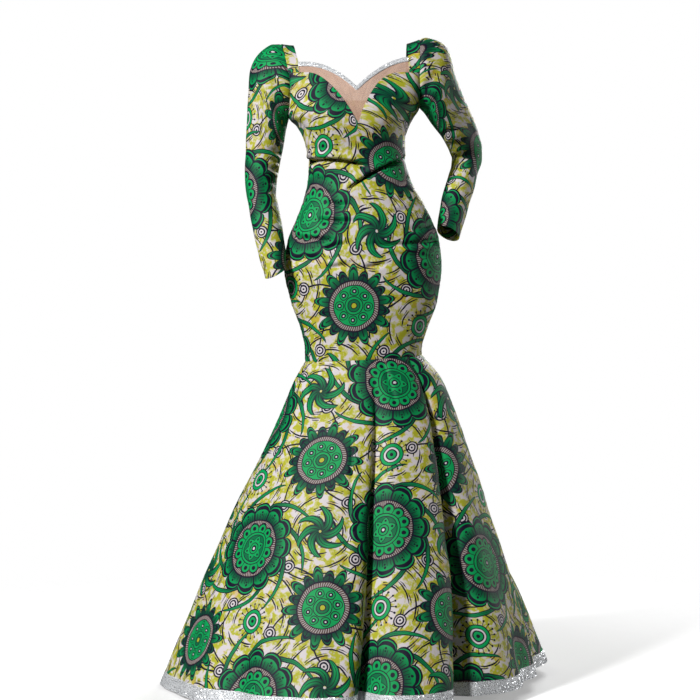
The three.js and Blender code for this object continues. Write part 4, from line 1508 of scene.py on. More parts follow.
def strap_width(hole: Armhole, z: Array, facing: Array) -> Array:
    """Width of a strap at a height on the front or back of the shoulder."""
    end_z = np.where(facing < 0, SWEETHEART_SHOULDER_Z, BACK_NECK_SHOULDER_Z)
    end_width = np.where(facing < 0, STRAP_FRONT, STRAP_BACK)
    return mix(end_width, STRAP_TOP, np.clip((z - end_z) / (hole.top[1] - end_z), 0, 1))


@dataclass(frozen=True)
class BackPanel:
    """One half of the back, from the zip to its side seam and armhole."""

    side: str
    lay: Lay
    columns: int = 60
    rows: int = 176
    top_rows: int = 30
    creases: tuple[Crease, ...] = (
        Crease((-118, -292), (-60, -316), (-4, -320), 2.8, 8, 0.02, facing=Facing.BACK),
        Crease((122, -288), (66, -312), (2, -324), 2.8, 8, 0.02, facing=Facing.BACK),
        Crease((-126, -330), (-70, -346), (-14, -340), 2.1, 7, 0.02, facing=Facing.BACK),
        Crease((140, -338), (80, -352), (20, -346), 2.2, 7, 0.02, facing=Facing.BACK),
        Crease((-120, -252), (-76, -272), (-22, -276), 1.8, 6, 0.02, facing=Facing.BACK),
        Crease((116, -240), (74, -262), (24, -272), 1.9, 6, 0.02, facing=Facing.BACK),
        Crease((-150, -560), (-84, -604), (-16, -596), 2.4, 9, 0.02, facing=Facing.BACK),
        Crease((178, -560), (112, -606), (28, -600), 2.4, 9, 0.02, facing=Facing.BACK),
        Crease((-126, -650), (-70, -640), (-14, -654), 1.6, 8, 0.02, facing=Facing.BACK),
        Crease((158, -646), (98, -650), (30, -640), 1.6, 8, 0.02, facing=Facing.BACK),
        Crease((-148, -150), (-104, -170), (-60, -160), 2.0, 8, 0.05, facing=Facing.BACK),
        Crease((142, -140), (100, -162), (56, -156), 2.0, 8, 0.05, facing=Facing.BACK),
    )
    sway: Point = (0.8, 38)
    zip_ridge: tuple[float, float, float] = (0.9, 4.0, 2.6)

    def surface(self) -> Cloth:
        """Middle of the panel's wall."""
        outward = -1 if self.side == "left" else 1
        share = shares((1, self.columns)) if outward < 0 else shares((0, self.columns), start=-1.0)
        across = -np.sin(share * math.pi / 2)[None, :]
        level = shares((1, self.rows), (2, self.top_rows))[:, None]
        shoulder_line = armpit_z(across) - 40 * (1 - across ** 2)
        bottom = thigh_z(body_point(across, np.full_like(across, THIGH_SECTION_Z), Facing.BACK))
        top_x = body_point(across, np.full_like(across, BACK_NECK_SHOULDER_Z), Facing.BACK)[..., 0]
        rise = armhole_rise(across, BACK_NECK_SHOULDER_Z, np.clip(level - 1, 0, None))
        upper = mix(shoulder_line, back_neck_z(top_x), rise)
        z = np.where(level > 1, upper, mix(bottom, shoulder_line, level))
        points = body_point(across + 0 * z, z, Facing.BACK)
        points[..., 0] += outward * SEAM / 2
        points[..., 1] += SEAM / 2
        return Cloth(points)

    def build(self, print_cloth: bpy.types.Material) -> bpy.types.Object:
        """Shapes, creases and dresses the panel, with its stitch row of the zip beside the centre."""
        cloth = self.surface()
        centre = 0 if self.side == "left" else self.columns
        cloth.lay_flat(centre)
        relief = creased(cloth, self.creases)
        relief = relief + wander(cloth.points, *self.sway) + seam_relief(cloth, "left right bottom")
        seam = cloth.edge_distance("left" if centre == 0 else "right")
        cloth.lift(relief + ridge(seam, *self.zip_ridge))
        piece = cut_piece(f"bodice_back_{self.side}", cloth, CLOTH_WALL, self.lay, print_cloth,
                          f"back_{self.side}")
        beside = int(np.argmin(np.abs(seam[-1] - ZIP_STITCH)))
        line = outside(cloth, slice(None), CLOTH_WALL)[:, beside]
        line = line[line[:, 2] > ZIP_END_Z]
        StitchRow().sew(f"stitches_zip_{self.side}", line, THREAD)
        return piece


@dataclass(frozen=True)
class ShoulderStrap:
    """Strap over the top of an armhole, from the bodice in front to the back panel."""

    hole: Armhole
    lay: Lay
    columns: int = 12
    rows: int = 60
    rise: float = -0.12
    on_body: Point = (-46, -24)
    edge_ridge: tuple[float, float, float] = (0.5, 3.0, 2.0)

    def build(self, print_cloth: bpy.types.Material) -> bpy.types.Object:
        """Shapes and dresses the strap."""
        hole = self.hole
        front = -math.acos((SWEETHEART_SHOULDER_Z + SEAM - hole.middle) / hole.half)
        back = math.acos((BACK_NECK_SHOULDER_Z + SEAM - hole.middle) / hole.half)
        width = shares((1, self.columns))[None, :]
        turn = mix(front, back, shares((1, self.rows))[:, None])
        edge = hole.point(turn)
        offset = width * strap_width(hole, edge[..., 2], turn)
        x, z = edge[..., 0] + hole.inward * offset, edge[..., 2] + 0 * offset
        across = across_at(x, z)
        on_front = body_point(across, z, Facing.FRONT)[..., 1] - SEAM / 2
        on_back = body_point(across, z, Facing.BACK)[..., 1] + SEAM / 2
        y_body = np.where(turn < 0, on_front, on_back)
        share = 1 - smooth(z, *self.on_body)
        cloth = Cloth(stack(x, mix(edge[..., 1], y_body, share), z + self.rise * offset * (1 - share)))
        if hole.inward < 0:
            cloth.points = cloth.points[:, ::-1]
        cloth.points = cloth.points[::-1] if self.faces_in(cloth) else cloth.points
        cloth.lay_flat(self.columns // 2)
        cloth.lift(ridge(cloth.edge_distance("left right"), *self.edge_ridge))
        return cut_piece(f"shoulder_strap_{hole.side}", cloth, CLOTH_WALL, self.lay, print_cloth,
                         f"strap_{hole.side}")

    def faces_in(self, cloth: Cloth) -> bool:
        """Whether the strap's normals point down at its top."""
        return bool(cloth.normals()[self.rows // 2, self.columns // 2, 2] < 0)


def neck_surface(low: Callable[[Array, Array], Array], high: Callable[[Array, Array], Array], rows: int,
                 columns: int) -> Cloth:
    """Surface of the neck between two lines.

    Args:
        low: height of the lower line from X and the height of the bodice's edge.
        high: height of the upper line.
        rows: number of steps up.
        columns: number of steps across.

    Returns:
        The surface.
    """
    share = shares((neck_shares()[1], columns), start=neck_shares()[0])
    across = np.sin(share * math.pi / 2)[None, :]
    up = shares((1, rows))[:, None]
    edge_z = bodice_edge_z(across)
    edge_x = body_point(across, edge_z, Facing.FRONT)[..., 0]
    ends = []
    for hole in (LEFT_HOLE, RIGHT_HOLE):
        z = np.array(float(SWEETHEART_SHOULDER_Z))
        base = hole.side_line(z)[0] + hole.inward * strap_width(hole, z, np.array(-1))
        height = mix(low(base, z), high(base, z), up)
        edge = hole.side_line(height)[0] + hole.inward * strap_width(hole, height, np.array(-1))
        ends.append((base, edge))
    between = (edge_x - ends[0][0]) / (ends[1][0] - ends[0][0])
    x = mix(ends[0][1], ends[1][1], between)
    z = mix(low(x, edge_z), high(x, edge_z), up)
    points = body_point(across_at(x, z), z, Facing.FRONT)
    points[..., 1] -= SEAM / 2 + cup_height(x, z)
    return Cloth(points)


def net_low_z(x: Array, edge_z: Array) -> Array:
    """Lower edge of the net, tucked behind the bodice's edge."""
    return edge_z - NET_TUCK + 0 * x


def trim_high_z(x: Array, edge_z: Array) -> Array:
    """Upper edge of the silver trim."""
    return trim_low_z(x, edge_z) + TRIM_HEIGHT


def trim_low_z(x: Array, edge_z: Array) -> Array:
    """Lower edge of the silver trim."""
    return neckline_z(x) - TRIM_HEIGHT / 2 + 0 * edge_z


@dataclass(frozen=True)
class Neck:
    """Sheer net between the bodice and the neckline, and the silver trim on its upper edge."""

    columns: int = 96
    net_rows: int = 26
    net_behind: float = 0.8
    net_sway: Point = (0.35, 18)
    trim_rows: int = 4
    trim_ridge: tuple[float, float, float] = (0.4, 4.5, 3.0)
    stitches_in: float = 1.2

    def build(self, net: bpy.types.Material, glitter: bpy.types.Material) -> bpy.types.Object:
        """Makes the net, the trim, its flakes and its two stitch rows."""
        cloth = neck_surface(net_low_z, trim_low_z, self.net_rows, self.columns)
        cloth.lay_flat(self.columns // 2)
        cloth.points[..., 1] += self.net_behind
        cloth.lift(wander(cloth.points, *self.net_sway))
        cut_piece("neck_net", cloth, MESH_WALL, Lay(), net, "mesh_yoke")
        ribbon = neck_surface(trim_low_z, trim_high_z, self.trim_rows, self.columns)
        ribbon.lay_flat(self.columns // 2)
        ribbon.lift(ridge(ribbon.edge_distance("top bottom"), *self.trim_ridge))
        trim = cut_piece("neck_ribbon", ribbon, TRIM_WALL, Lay(), glitter, "neck_trim")
        FlakeCoat(density=210000, radius=0.7).coat("neck_flakes", ribbon, 3)
        for name, row, rise in (("upper", -1, -self.stitches_in), ("lower", 0, self.stitches_in)):
            line = outside(ribbon, row, TRIM_WALL) + np.array([0, 0, rise])
            StitchRow().sew(f"stitches_trim_{name}", line, SILVER_THREAD)
        return trim


SLEEVE_COLUMNS = "along under_x under_z over_x over_z y reach tip bow"
LEFT_SLEEVE = Table(SLEEVE_COLUMNS, [
    (0, -154, -172, -172, -4, 0, 56, 0, 11),
    (14, -155.5, -176, -190, -4, 0, 59, 0, 8),
    (32, -157, -182, -211, -15, 0, 60, 0, 4),
    (55, -159, -191, -232, -38, 0, 60, 0, 1),
    (80, -162, -205, -243, -70, 0, 58, 0, 0),
    (112, -165, -223, -247, -115, 1, 54, 0, 0),
    (150, -169, -246, -250, -175, 2, 50, 0, 0),
    (190, -173.5, -270, -253, -235, 2, 46, 0, 0),
    (225, -178.5, -296, -254.5, -285, 0, 43, 0, 0),
    (255, -183, -322, -254, -318, -3, 40, 3, 0),
    (282, -183, -345, -251, -345, -8, 38, 8, 0),
    (313, -178, -375, -245.5, -378, -16, 36, 11, 0),
    (350, -171.5, -410, -237.5, -416, -26, 34, 11, 0),
    (393, -164.5, -450, -227.5, -461, -40, 32, 10, 0),
    (433, -160, -488, -216, -505, -53, 30, 9, 0),
    (467, -159, -520, -205, -542, -65, 28, 8, 0),
])
RIGHT_SLEEVE = Table(SLEEVE_COLUMNS, [
    (0, 145, -149, 145.5, 6, 0, 56, 0, 1),
    (14, 150, -154, 160, 11, 1, 59, 0, 0),
    (34, 157, -161, 184, 6, 4, 60, 0, 0),
    (58, 165, -171, 208, -10, 8, 60, 1, 0),
    (84, 174, -183, 220, -35, 14, 58, 3, 0),
    (118, 185, -196, 229, -70, 25, 55, 8, 0),
    (156, 198, -210, 246, -110, 41, 52, 13, 0),
    (196, 210, -226, 267, -150, 61, 49, 16, 0),
    (236, 220, -242, 286, -193, 83, 46, 12, 0),
    (268, 226, -257, 296, -230, 100, 43, 4, 0),
    (290, 225, -273, 296, -258, 105, 41, -4, 0),
    (318, 218.5, -296, 286.5, -291, 98, 39, -14, 0),
    (353, 208.5, -327, 276, -330, 83, 36, -17, 0),
    (390, 199.5, -361, 264, -367, 66, 34, -16, 0),
    (426, 192.5, -395, 252.5, -405, 49, 31, -15, 0),
    (460, 188.5, -426, 239, -446, 33, 28, -13, 0),
])


@dataclass(frozen=True)
class Sleeve:
    """Long set-in sleeve on a bent arm, with its elbow creases and a turned hem at the cuff."""

    hole: Armhole
    table: Table
    lay: Lay
    creases: tuple[Crease, ...]
    sides: int = 84
    rings: int = 170
    sway: Point = (0.9, 26)
    ease: float = 0.35
    ease_wave: float = 4.6
    ease_place: Point = (7.0, 7.0)
    head_dip: Point = (1.1, 2.4)
    hem: float = 14.0
    hem_dip: Point = (0.35, 1.4)
    hem_wall: float = 0.7
    hem_step: float = 2.0
    stitch_wall: float = 1.3

    def surface(self) -> Cloth:
        """Middle of the sleeve's wall; its first column runs along the seam under the arm."""
        length = self.table.key[-1]
        along = (length * shares((1, self.rings)) ** 1.1)[:, None]
        turn = (math.pi + TAU * shares((1, self.sides))[:-1])[None, :]
        share = (1 + np.cos(turn)) / 2
        read = self.table.read
        bow = self.hole.inward * read("bow", along) * np.sin(turn) ** 2
        x = mix(read("under_x", along), read("over_x", along), share) + bow - self.hole.inward * 2 * SEAM
        y = read("y", along) + read("reach", along) * np.sin(turn)
        z = mix(read("under_z", along), read("over_z", along), share) + read("tip", along) * np.sin(turn)
        cloth = Cloth(stack(x, y, z), ring=True)
        outward = cloth.normals()[self.rings // 2, self.sides // 2, 0] * self.hole.inward
        if outward > 0:
            cloth.points = cloth.points[:, ::-1]
        return cloth

    def build(self, print_cloth: bpy.types.Material) -> bpy.types.Object:
        """Shapes, creases and dresses the sleeve."""
        cloth = self.surface()
        cloth.lay_flat(self.sides // 2, -1)
        relief = creased(cloth, self.creases)
        down = cloth.run(0)
        ease_at, ease_width = self.ease_place
        ease = np.sin(cloth.run(1)[:, :self.sides] / self.ease_wave) * bell(down - ease_at, ease_width)
        dip, dip_width = self.head_dip
        relief = relief + wander(cloth.points, *self.sway) + self.ease * ease - dip * bell(down, dip_width)
        cuff = down[-1:] - down
        dip, dip_width = self.hem_dip
        cloth.lift(relief - ridge(cuff, dip, self.hem, dip_width))
        turned = smooth(-cuff.mean(axis=1), -self.hem, -self.hem + self.hem_step)
        wall = CLOTH_WALL * (1 + self.hem_wall * turned)
        side = self.hole.side
        piece = cut_piece(f"sleeve_cloth_{side}", cloth, wall, self.lay, print_cloth,
                          f"sleeve_{side}")
        row = int(np.argmin(np.abs(cuff.mean(axis=1) - self.hem)))
        line = outside(cloth, row, CLOTH_WALL * self.stitch_wall)
        StitchRow().sew(f"stitches_cuff_{side}", closed(line), THREAD)
        return piece


FLARE = Table("down left right front back", [
    (0, -116.5, 150, 90, 94),
    (0.065, -142, 190, 112, 119),
    (0.13, -162, 213, 134, 142),
    (0.26, -204, 248, 178, 188),
    (0.45, -273, 296, 244, 254),
    (0.75, -369, 373, 338, 348),
    (1, -443, 422, 418, 420),
])
HEM_Z = -1448
HEM_SLOPE = 0.026
BAND_SHARE = 0.036
BAND_LAP = 1.06
SKIRT_SWAY = (1.3, 55)
SKIRT_PUCKER = 0.6


@dataclass(frozen=True)
class Flute:
    """A furrow between two flutes of the skirt, or a swell where its depth is below zero.

    Angle is from the front centre in degrees at the hem, and sweep is how much further round it stands at
    the thigh seam. Before and after are the widths of its two walls. It begins at start, a share of the way
    down. Lean draws the crest before it over the furrow.
    """

    angle: float
    depth: float
    before: float
    after: float
    start: float = 0.1
    growth: float = 1.25
    sweep: float = 0.0
    lean: float = 0.0

    def apart(self, angle: Array, down: Array) -> Array:
        """Degrees from the furrow's line."""
        away = angle - np.radians(self.angle + self.sweep * (1 - down))
        return np.degrees(np.arctan2(np.sin(away), np.cos(away)))

    def grown(self, down: Array) -> Array:
        """Share of the full depth on the way down."""
        return np.clip((down - self.start) / (1 - self.start), 0, 1) ** self.growth

    def inward(self, angle: Array, down: Array) -> Array:
        """How far the furrow draws the cloth in."""
        apart = self.apart(angle, down)
        width = np.where(apart < 0, self.before, self.after)
        return self.depth * self.grown(down) * np.exp(-(apart ** 2) / (2 * width ** 2))

    def aside(self, angle: Array, down: Array) -> Array:
        """How far the crest before the furrow leans over it."""
        apart = self.apart(angle, down) + 1.5 * self.before
        return self.lean * self.grown(down) ** 0.6 * np.exp(-(apart ** 2) / (2 * (0.9 * self.before) ** 2))


FLUTES = (
    Flute(-160, 36, 7.5, 5, 0.02),
    Flute(-128, 28, 4.5, 7, 0.08, lean=8),
    Flute(-101, 30, 6, 5.5, 0.1),
    Flute(-66, 11, 6, 6, 0.3),
    Flute(-36, 19, 6, 5, 0.15, sweep=-24),
    Flute(-20, 6, 4, 4, 0.3, sweep=-10),
    Flute(-6.5, 6, 2.2, 2.6, 0.3, 0.9),
    Flute(1.0, 78, 2.7, 4.6, 0.04, 0.95, sweep=4.5, lean=24),
    Flute(31.5, 96, 2.8, 6.0, 0.0, 0.7, sweep=16.5, lean=30),
    Flute(45.5, 12, 3.0, 4.0, 0.45),
    Flute(67, 18, 5, 6, 0.3, lean=4),
    Flute(88, 22, 6, 6, 0.4),
    Flute(131, 36, 5, 7, 0.05, lean=8),
    Flute(166, 26, 6, 4.5, 0.08),
    Flute(-78, -6, 10, 10, 0.3),
    Flute(20, -8, 7, 5, 0.1, sweep=10),
    Flute(107, -42, 11, 11, 0.7, 0.7),
    Flute(-36, 3.5, 2.0, 2.4, 0.45),
    Flute(13, 4.0, 1.8, 2.2, 0.3),
    Flute(45, 5.0, 2.2, 2.6, 0.35),
    Flute(68, 4.5, 2.4, 2.6, 0.5),
    Flute(-57, 4.0, 2.2, 2.6, 0.4),
    Flute(-86, 4.5, 2.4, 2.8, 0.45),
    Flute(-115, 4.5, 2.2, 2.6, 0.4),
    Flute(-145, 5.0, 2.4, 2.4, 0.35),
    Flute(-174, 5.5, 2.2, 2.8, 0.3),
    Flute(149, 5.0, 2.4, 2.6, 0.35),
    Flute(118, 4.5, 2.2, 2.6, 0.5),
)


def skirt_section(angle: Array, down: Array) -> Array:
    """The skirt's plain section at an angle from the front centre and a share of the way down."""
    left, right = FLARE.read("left", down), FLARE.read("right", down)
    forward = np.cos(angle) >= 0
    depth = np.where(forward, FLARE.read("front", down), FLARE.read("back", down))
    squareness = mix(BODY_SQUARENESS, 1, smooth(down, 0, 0.5))
    bulge = np.sign(np.cos(angle)) * np.abs(np.cos(angle)) ** squareness
    x = (left + right) / 2 + (right - left) / 2 * np.sin(angle)
    return stack(x, -depth * bulge, 0 * x)


def skirt_point(angle: Array, down: Array) -> Array:
    """Points of the fluted skirt."""
    top = skirt_section(angle, 0 * down)
    point = skirt_section(angle, down)
    point[..., 2] = mix(thigh_z(top), HEM_Z + HEM_SLOPE * point[..., 0], down)
    inward = sum(flute.inward(angle, down) for flute in FLUTES)
    aside = sum(flute.aside(angle, down) for flute in FLUTES if flute.lean)
    point[..., 0] += aside * np.cos(angle) - inward * np.sin(angle)
    point[..., 1] += aside * np.sin(angle) + inward * np.cos(angle)
    return point


@dataclass(frozen=True)
class SkirtHalf:
    """Front or back half of the flared skirt, between its side seams."""

    facing: Facing
    lay: Lay
    columns: int = 250
    rows: int = 124
    apex: float = 350.0
    creases: tuple[Crease, ...] = (
        Crease((-11, -860), (-14, -1076), (-42, -1330), 7.0, 4.5, 0.35, 0.5),
        Crease((-118, -735), (-108, -790), (-116, -850), 2.6, 6, 0.03),
        Crease((-60, -735), (-66, -790), (-84, -870), 2.2, 6, 0.03),
        Crease((60, -730), (78, -790), (96, -850), 2.4, 6, 0.03),
        Crease((120, -725), (140, -780), (152, -840), 2.6, 6, 0.03),
        Crease((-100, -735), (-112, -800), (-142, -890), 2.6, 7, 0.03, facing=Facing.BACK),
        Crease((-40, -735), (-48, -800), (-60, -880), 2.4, 6, 0.03, facing=Facing.BACK),
        Crease((40, -732), (52, -800), (66, -880), 2.4, 6, 0.03, facing=Facing.BACK),
        Crease((112, -728), (136, -800), (160, -870), 2.6, 7, 0.03, facing=Facing.BACK),
    )

    def build(self, print_cloth: bpy.types.Material) -> bpy.types.Object:
        """Shapes and dresses the half."""
        front = self.facing is Facing.FRONT
        middle = 0 if front else math.pi
        angle = mix(middle - math.pi / 2, middle + math.pi / 2, shares((1, self.columns)))[None, :]
        down = (1 - mix(BAND_SHARE, 1, shares((1, self.rows))))[:, None]
        points = skirt_point(angle + 0 * down, down + 0 * angle)
        points[..., 1] += self.facing.value * SEAM / 2
        cloth = Cloth(points)
        cloth.lay_flat(self.columns // 2, -1, self.apex)
        seams = seam_relief(cloth, "left right top", pucker=SKIRT_PUCKER)
        cloth.lift(creased(cloth, self.creases) + wander(cloth.points, *SKIRT_SWAY) + seams)
        half = "front" if front else "back"
        return cut_piece(f"skirt_cloth_{half}", cloth, CLOTH_WALL, self.lay, print_cloth,
                         f"skirt_{half}")


@dataclass(frozen=True)
class HemRibbon:
    """Silver glitter ribbon all round the hem, with its flakes and the stitches on its upper edge."""

    columns: int = 560
    rows: int = 6
    stand_off: float = 0.5
    belly: tuple[float, float, float] = (0.4, 13, 8)
    stitches_down: float = 2.0

    def build(self, glitter: bpy.types.Material) -> bpy.types.Object:
        """Shapes and dresses the ribbon."""
        angle = (mix(-math.pi / 2, 1.5 * math.pi, shares((1, self.columns)))[:-1])[None, :]
        down = (1 - mix(0, BAND_SHARE * BAND_LAP, shares((1, self.rows))))[:, None]
        cloth = Cloth(skirt_point(angle + 0 * down, down + 0 * angle), ring=True)
        cloth.lay_flat(0)
        cloth.lift(wander(cloth.points, *SKIRT_SWAY) + self.stand_off + ridge(cloth.run(0), *self.belly))
        piece = cut_piece("hem_ribbon", cloth, TRIM_WALL, Lay(), glitter, "hem_band")
        FlakeCoat(density=150000, radius=0.95).coat("hem_flakes", cloth, 11)
        line = outside(cloth, -1, TRIM_WALL) - np.array([0, 0, self.stitches_down])
        StitchRow().sew("stitches_hem", closed(line), SILVER_THREAD)
        return piece


@dataclass(frozen=True)
class Zip:
    """Closed zip in the centre back seam: its teeth, its slider and the pull that hangs from it."""

    pitch: float = 1.5
    tooth: tuple[float, float, float] = (2.4, 0.9, 0.8)
    bevel: float = 0.22
    bevel_steps: int = 3
    bevel_angle: float = 40.0
    weld: float = 0.02
    sunk: float = 0.15
    shift: float = 0.35
    squash: tuple[float, float, float] = (1.0, 1.0, 0.62)
    line_points: int = 160

    def teeth(self) -> bpy.types.Object:
        """A row of small teeth along the seam, each set a little to its own side."""
        z = np.linspace(ZIP_END_Z, BACK_NECK_LOW_Z - ZIP_BELOW_NECK, self.line_points)
        line = body_point(0 * z, z, Facing.BACK) + np.array([0, CLOTH_WALL / 2 - self.sunk, 0])
        sizes = {"Pitch": self.pitch * MM / 2, "Shift": self.shift * MM}
        tree = Scatter("zip_teeth_tree", sizes)
        spots = tree.along()
        number = Value(tree, tree.node("GeometryNodeInputIndex").outputs[0])
        side = (number * 0.5).math("FRACT") * 4 - 1
        shift = tree.vector(side * tree.size("Shift"), 0.0, 0.0)
        moved = tree.node("GeometryNodeSetPosition", inputs={"Geometry": spots.outputs[0], "Offset": shift})
        size = tuple(part * MM for part in self.tooth)
        tooth = tree.node("GeometryNodeMeshCube", inputs={"Size": size})
        material = NYLON.material()
        tree.close(moved.outputs[0], tooth.outputs[0], (0.0, 0.0, 0.0), self.squash, material)
        piece = tree.grow("zip_teeth", path_object("zip_path", line))
        return dress_piece(piece, material)

    def rounded(self, node: str, name: str, body: str, material: bpy.types.Material) -> bpy.types.Object:
        """A metal piece on its solid's own form, with softened edges."""
        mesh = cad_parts[node].data.copy()
        mesh.name = name
        piece = linked(name, mesh)
        weld = piece.modifiers.new("weld", "WELD")
        weld.merge_threshold = self.weld * MM
        bevel = piece.modifiers.new("soft edges", "BEVEL")
        bevel.width = self.bevel * MM
        bevel.segments = self.bevel_steps
        bevel.angle_limit = math.radians(self.bevel_angle)
        made = evaluated(piece, name)
        piece.modifiers.clear()
        piece.data = made
        return dress_piece(piece, material, body, (node,))

    def build(self) -> bpy.types.Object:
        """Makes the teeth, the slider and the pull."""
        self.teeth()
        enamel = ENAMEL.material()
        self.rounded("zip_slider", "slider", DRESS, enamel)
        return self.rounded("zip_pull", "pull_tab", PULL, enamel)


# The studio


@dataclass(frozen=True)
class Studio:
    """Pale floor, soft light and a camera level with the thighs, straight in front."""

    floor_radius: float = 2.2
    floor_sides: int = 96
    floor_gap: float = 0.004
    floor_fade: Point = (0.7, 1.9)
    floor_glow: float = 0.35
    floor_colour: Colour = (0.86, 0.86, 0.86, 1)
    floor_bounce: Colour = (0.14, 0.14, 0.14, 1)
    camera_place: tuple[float, float, float] = (-0.0138, -4.0, -0.66)
    camera_reach: float = 100.0
    sensor_width: float = 36.0
    focal_pixels: float = 1740.0
    photo_side: float = 700.0
    horizon_above_middle: float = 20.0
    aim: tuple[float, float, float] = (0.0, 0.0, -0.72)
    glow: float = 0.02
    lights: tuple[tuple[str, tuple[float, float, float], float, float], ...] = (
        ("key", (-3.1, -3.4, 1.9), 0.6, 295),
        ("fill", (1.2, -4.5, 0.2), 1.4, 4),
        ("flank", (3.6, 1.2, -0.4), 1.0, 45),
        ("behind", (1.6, 3.8, 1.2), 2.0, 150),
    )

    def floor(self) -> None:
        """A round pale floor just under the hem."""
        lowest = CAD_BOX[0].z - self.floor_gap
        bpy.ops.mesh.primitive_circle_add(vertices=self.floor_sides, radius=self.floor_radius,
                                          fill_type="NGON", location=(0, 0, lowest))
        floor = bpy.context.object
        floor.name = "floor"
        shade = Shade("pale_floor")
        x, y, _ = shade.place(shade.node("ShaderNodeTexCoord").outputs["Object"])
        seen = 1 - (x * x + y * y).root().step(*self.floor_fade)
        to_camera = shade.value(shade.node("ShaderNodeLightPath"), "Is Camera Ray")
        shade.colour = self.floor_bounce
        shade.lay(self.floor_colour, to_camera)
        floor.data.materials.append(shade.finish(
            Roughness=0.9, Specular_IOR_Level=0.1, Alpha=seen, Emission_Color=shade.colour,
            Emission_Strength=self.floor_glow))

    def light(self, name: str, place: tuple[float, float, float], size: float, power: float) -> None:
        """One square soft light aimed at the dress."""
        data = bpy.data.lights.new(name, "AREA")
        data.shape = "SQUARE"
        data.size = size
        data.energy = power
        lamp = linked(name, data)
        lamp.location = place
        lamp.rotation_euler = (Vector(self.aim) - Vector(place)).to_track_quat("-Z", "Y").to_euler()

    def camera(self) -> None:
        """The photograph's viewpoint."""
        data = bpy.data.cameras.new("camera")
        data.sensor_width = self.sensor_width
        data.lens = self.focal_pixels / self.photo_side * data.sensor_width
        data.shift_y = -self.horizon_above_middle / self.photo_side
        data.clip_end = self.camera_reach
        camera = linked("camera", data)
        camera.location = self.camera_place
        camera.rotation_euler = (math.pi / 2, 0, 0)
        bpy.context.scene.camera = camera

    def build(self) -> None:
        """Sets up the world, floor, lights and camera."""
        world = bpy.data.worlds.new("studio")
        world.use_nodes = True
        bpy.context.scene.world = world
        back = world.node_tree.nodes["Background"]
        back.inputs["Color"].default_value = (1, 1, 1, 1)
        sky = Tree(world.node_tree)
        seen = Value(sky, sky.node("ShaderNodeLightPath").outputs["Is Camera Ray"])
        world.node_tree.links.new((seen * (1 - self.glow) + self.glow).socket, back.inputs["Strength"])
        bpy.context.scene.view_settings.view_transform = "Standard"
        self.floor()
        for name, place, size, power in self.lights:
            self.light(name, place, size, power)
        self.camera()


LEFT_ARM_CREASES = (
    Crease((-160, -262), (-186, -253), (-216, -243), 4.2, 5.0, 0.05, 0.6),
    Crease((-168, -303), (-196, -292), (-228, -281), 3.8, 5.0, 0.05, 0.6),
    Crease((-165, -281), (-190, -274), (-210, -268), 3.4, 4.0, 0.05, 0.6),
    Crease((-176, -330), (-204, -318), (-232, -312), 2.0, 6.0, 0.05),
    Crease((-166, -232), (-190, -214), (-216, -206), 2.0, 6.0, 0.05),
    Crease((-160, -196), (-178, -160), (-188, -120), 2.4, 7.0, 0.05),
    Crease((-172, -120), (-192, -80), (-214, -52), 1.8, 8.0, 0.1),
    Crease((-168, -420), (-196, -404), (-226, -398), 1.6, 6.5, 0.05),
    Crease((-162, -468), (-186, -456), (-212, -454), 1.5, 6.0, 0.05),
    Crease((-170, -270), (-200, -262), (-232, -270), 3.0, 6.0, 0.05, facing=Facing.BACK),
    Crease((-174, -310), (-206, -304), (-240, -312), 2.6, 6.0, 0.05, facing=Facing.BACK),
    Crease((-166, -210), (-196, -190), (-226, -180), 2.2, 7.0, 0.05, facing=Facing.BACK),
    Crease((-160, -170), (-180, -130), (-196, -90), 2.4, 8.0, 0.05, facing=Facing.BACK),
)
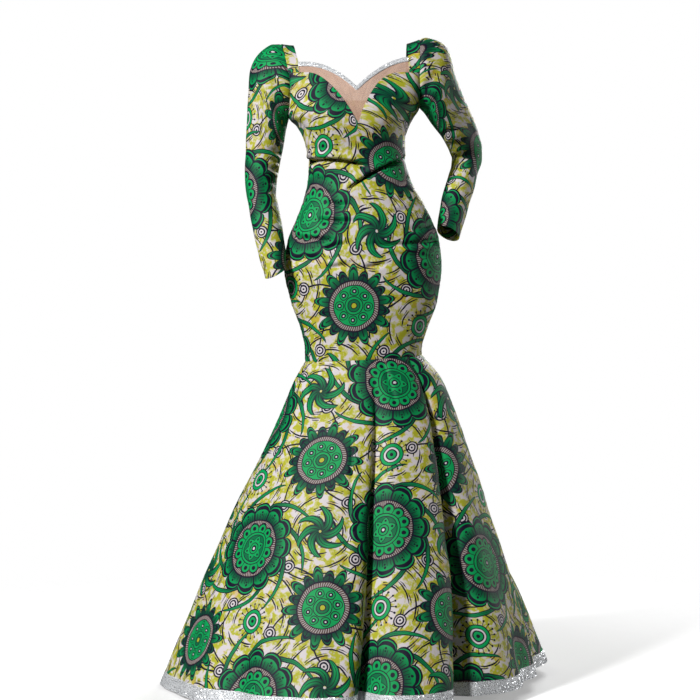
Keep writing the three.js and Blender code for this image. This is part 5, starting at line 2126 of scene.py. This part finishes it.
RIGHT_ARM_CREASES = (
    Crease((206, -238), (232, -222), (264, -218), 4.2, 5.0, 0.05, 0.6),
    Crease((218, -266), (242, -248), (270, -238), 3.8, 5.0, 0.05, 0.6),
    Crease((194, -214), (218, -200), (246, -198), 3.0, 5.0, 0.05, 0.6),
    Crease((216, -290), (242, -282), (272, -284), 2.2, 6.0, 0.05),
    Crease((158, -168), (178, -140), (204, -120), 2.6, 7.0, 0.05),
    Crease((150, -130), (172, -92), (196, -60), 2.0, 8.0, 0.1),
    Crease((206, -340), (232, -330), (258, -334), 1.7, 6.5, 0.05),
    Crease((198, -384), (222, -374), (246, -378), 1.5, 6.0, 0.05),
    Crease((226, -262), (252, -240), (284, -232), 3.0, 6.5, 0.05, facing=Facing.BACK),
    Crease((206, -214), (232, -190), (262, -180), 2.4, 7.0, 0.05, facing=Facing.BACK),
    Crease((160, -160), (182, -130), (206, -104), 2.4, 8.0, 0.05, facing=Facing.BACK),
)


BACK_LAYS = {"left": Lay(-12, 210, 320), "right": Lay(8, -140, 520)}
STRAP_LAYS = {"left": Lay(30, 40, 80), "right": Lay(-20, 160, 20)}
RIGHT_STRAP_RISE = -0.33
SLEEVE_LAYS = {"left": Lay(10, 120, 40), "right": Lay(-16, 60, 210)}
SKIRT_LAYS = {Facing.FRONT: Lay(0, 110, 240), Facing.BACK: Lay(14, 20, 70)}


def main() -> None:
    """Builds the dress from the body outwards, then the studio."""
    logging.basicConfig(level=logging.INFO, format="%(message)s")
    print_cloth = WaxPrint().material()
    glitter = Glitter().material()
    FrontPanel().build(print_cloth)
    for side, lay in BACK_LAYS.items():
        BackPanel(side, lay).build(print_cloth)
    ShoulderStrap(LEFT_HOLE, STRAP_LAYS["left"]).build(print_cloth)
    ShoulderStrap(RIGHT_HOLE, STRAP_LAYS["right"], rise=RIGHT_STRAP_RISE).build(print_cloth)
    Neck().build(SheerNet().material(), glitter)
    Sleeve(LEFT_HOLE, LEFT_SLEEVE, SLEEVE_LAYS["left"], LEFT_ARM_CREASES).build(print_cloth)
    Sleeve(RIGHT_HOLE, RIGHT_SLEEVE, SLEEVE_LAYS["right"], RIGHT_ARM_CREASES).build(print_cloth)
    for facing, lay in SKIRT_LAYS.items():
        SkirtHalf(facing, lay).build(print_cloth)
    HemRibbon().build(glitter)
    Zip().build()
    Studio().build()


if __name__ == "__main__":
    main()
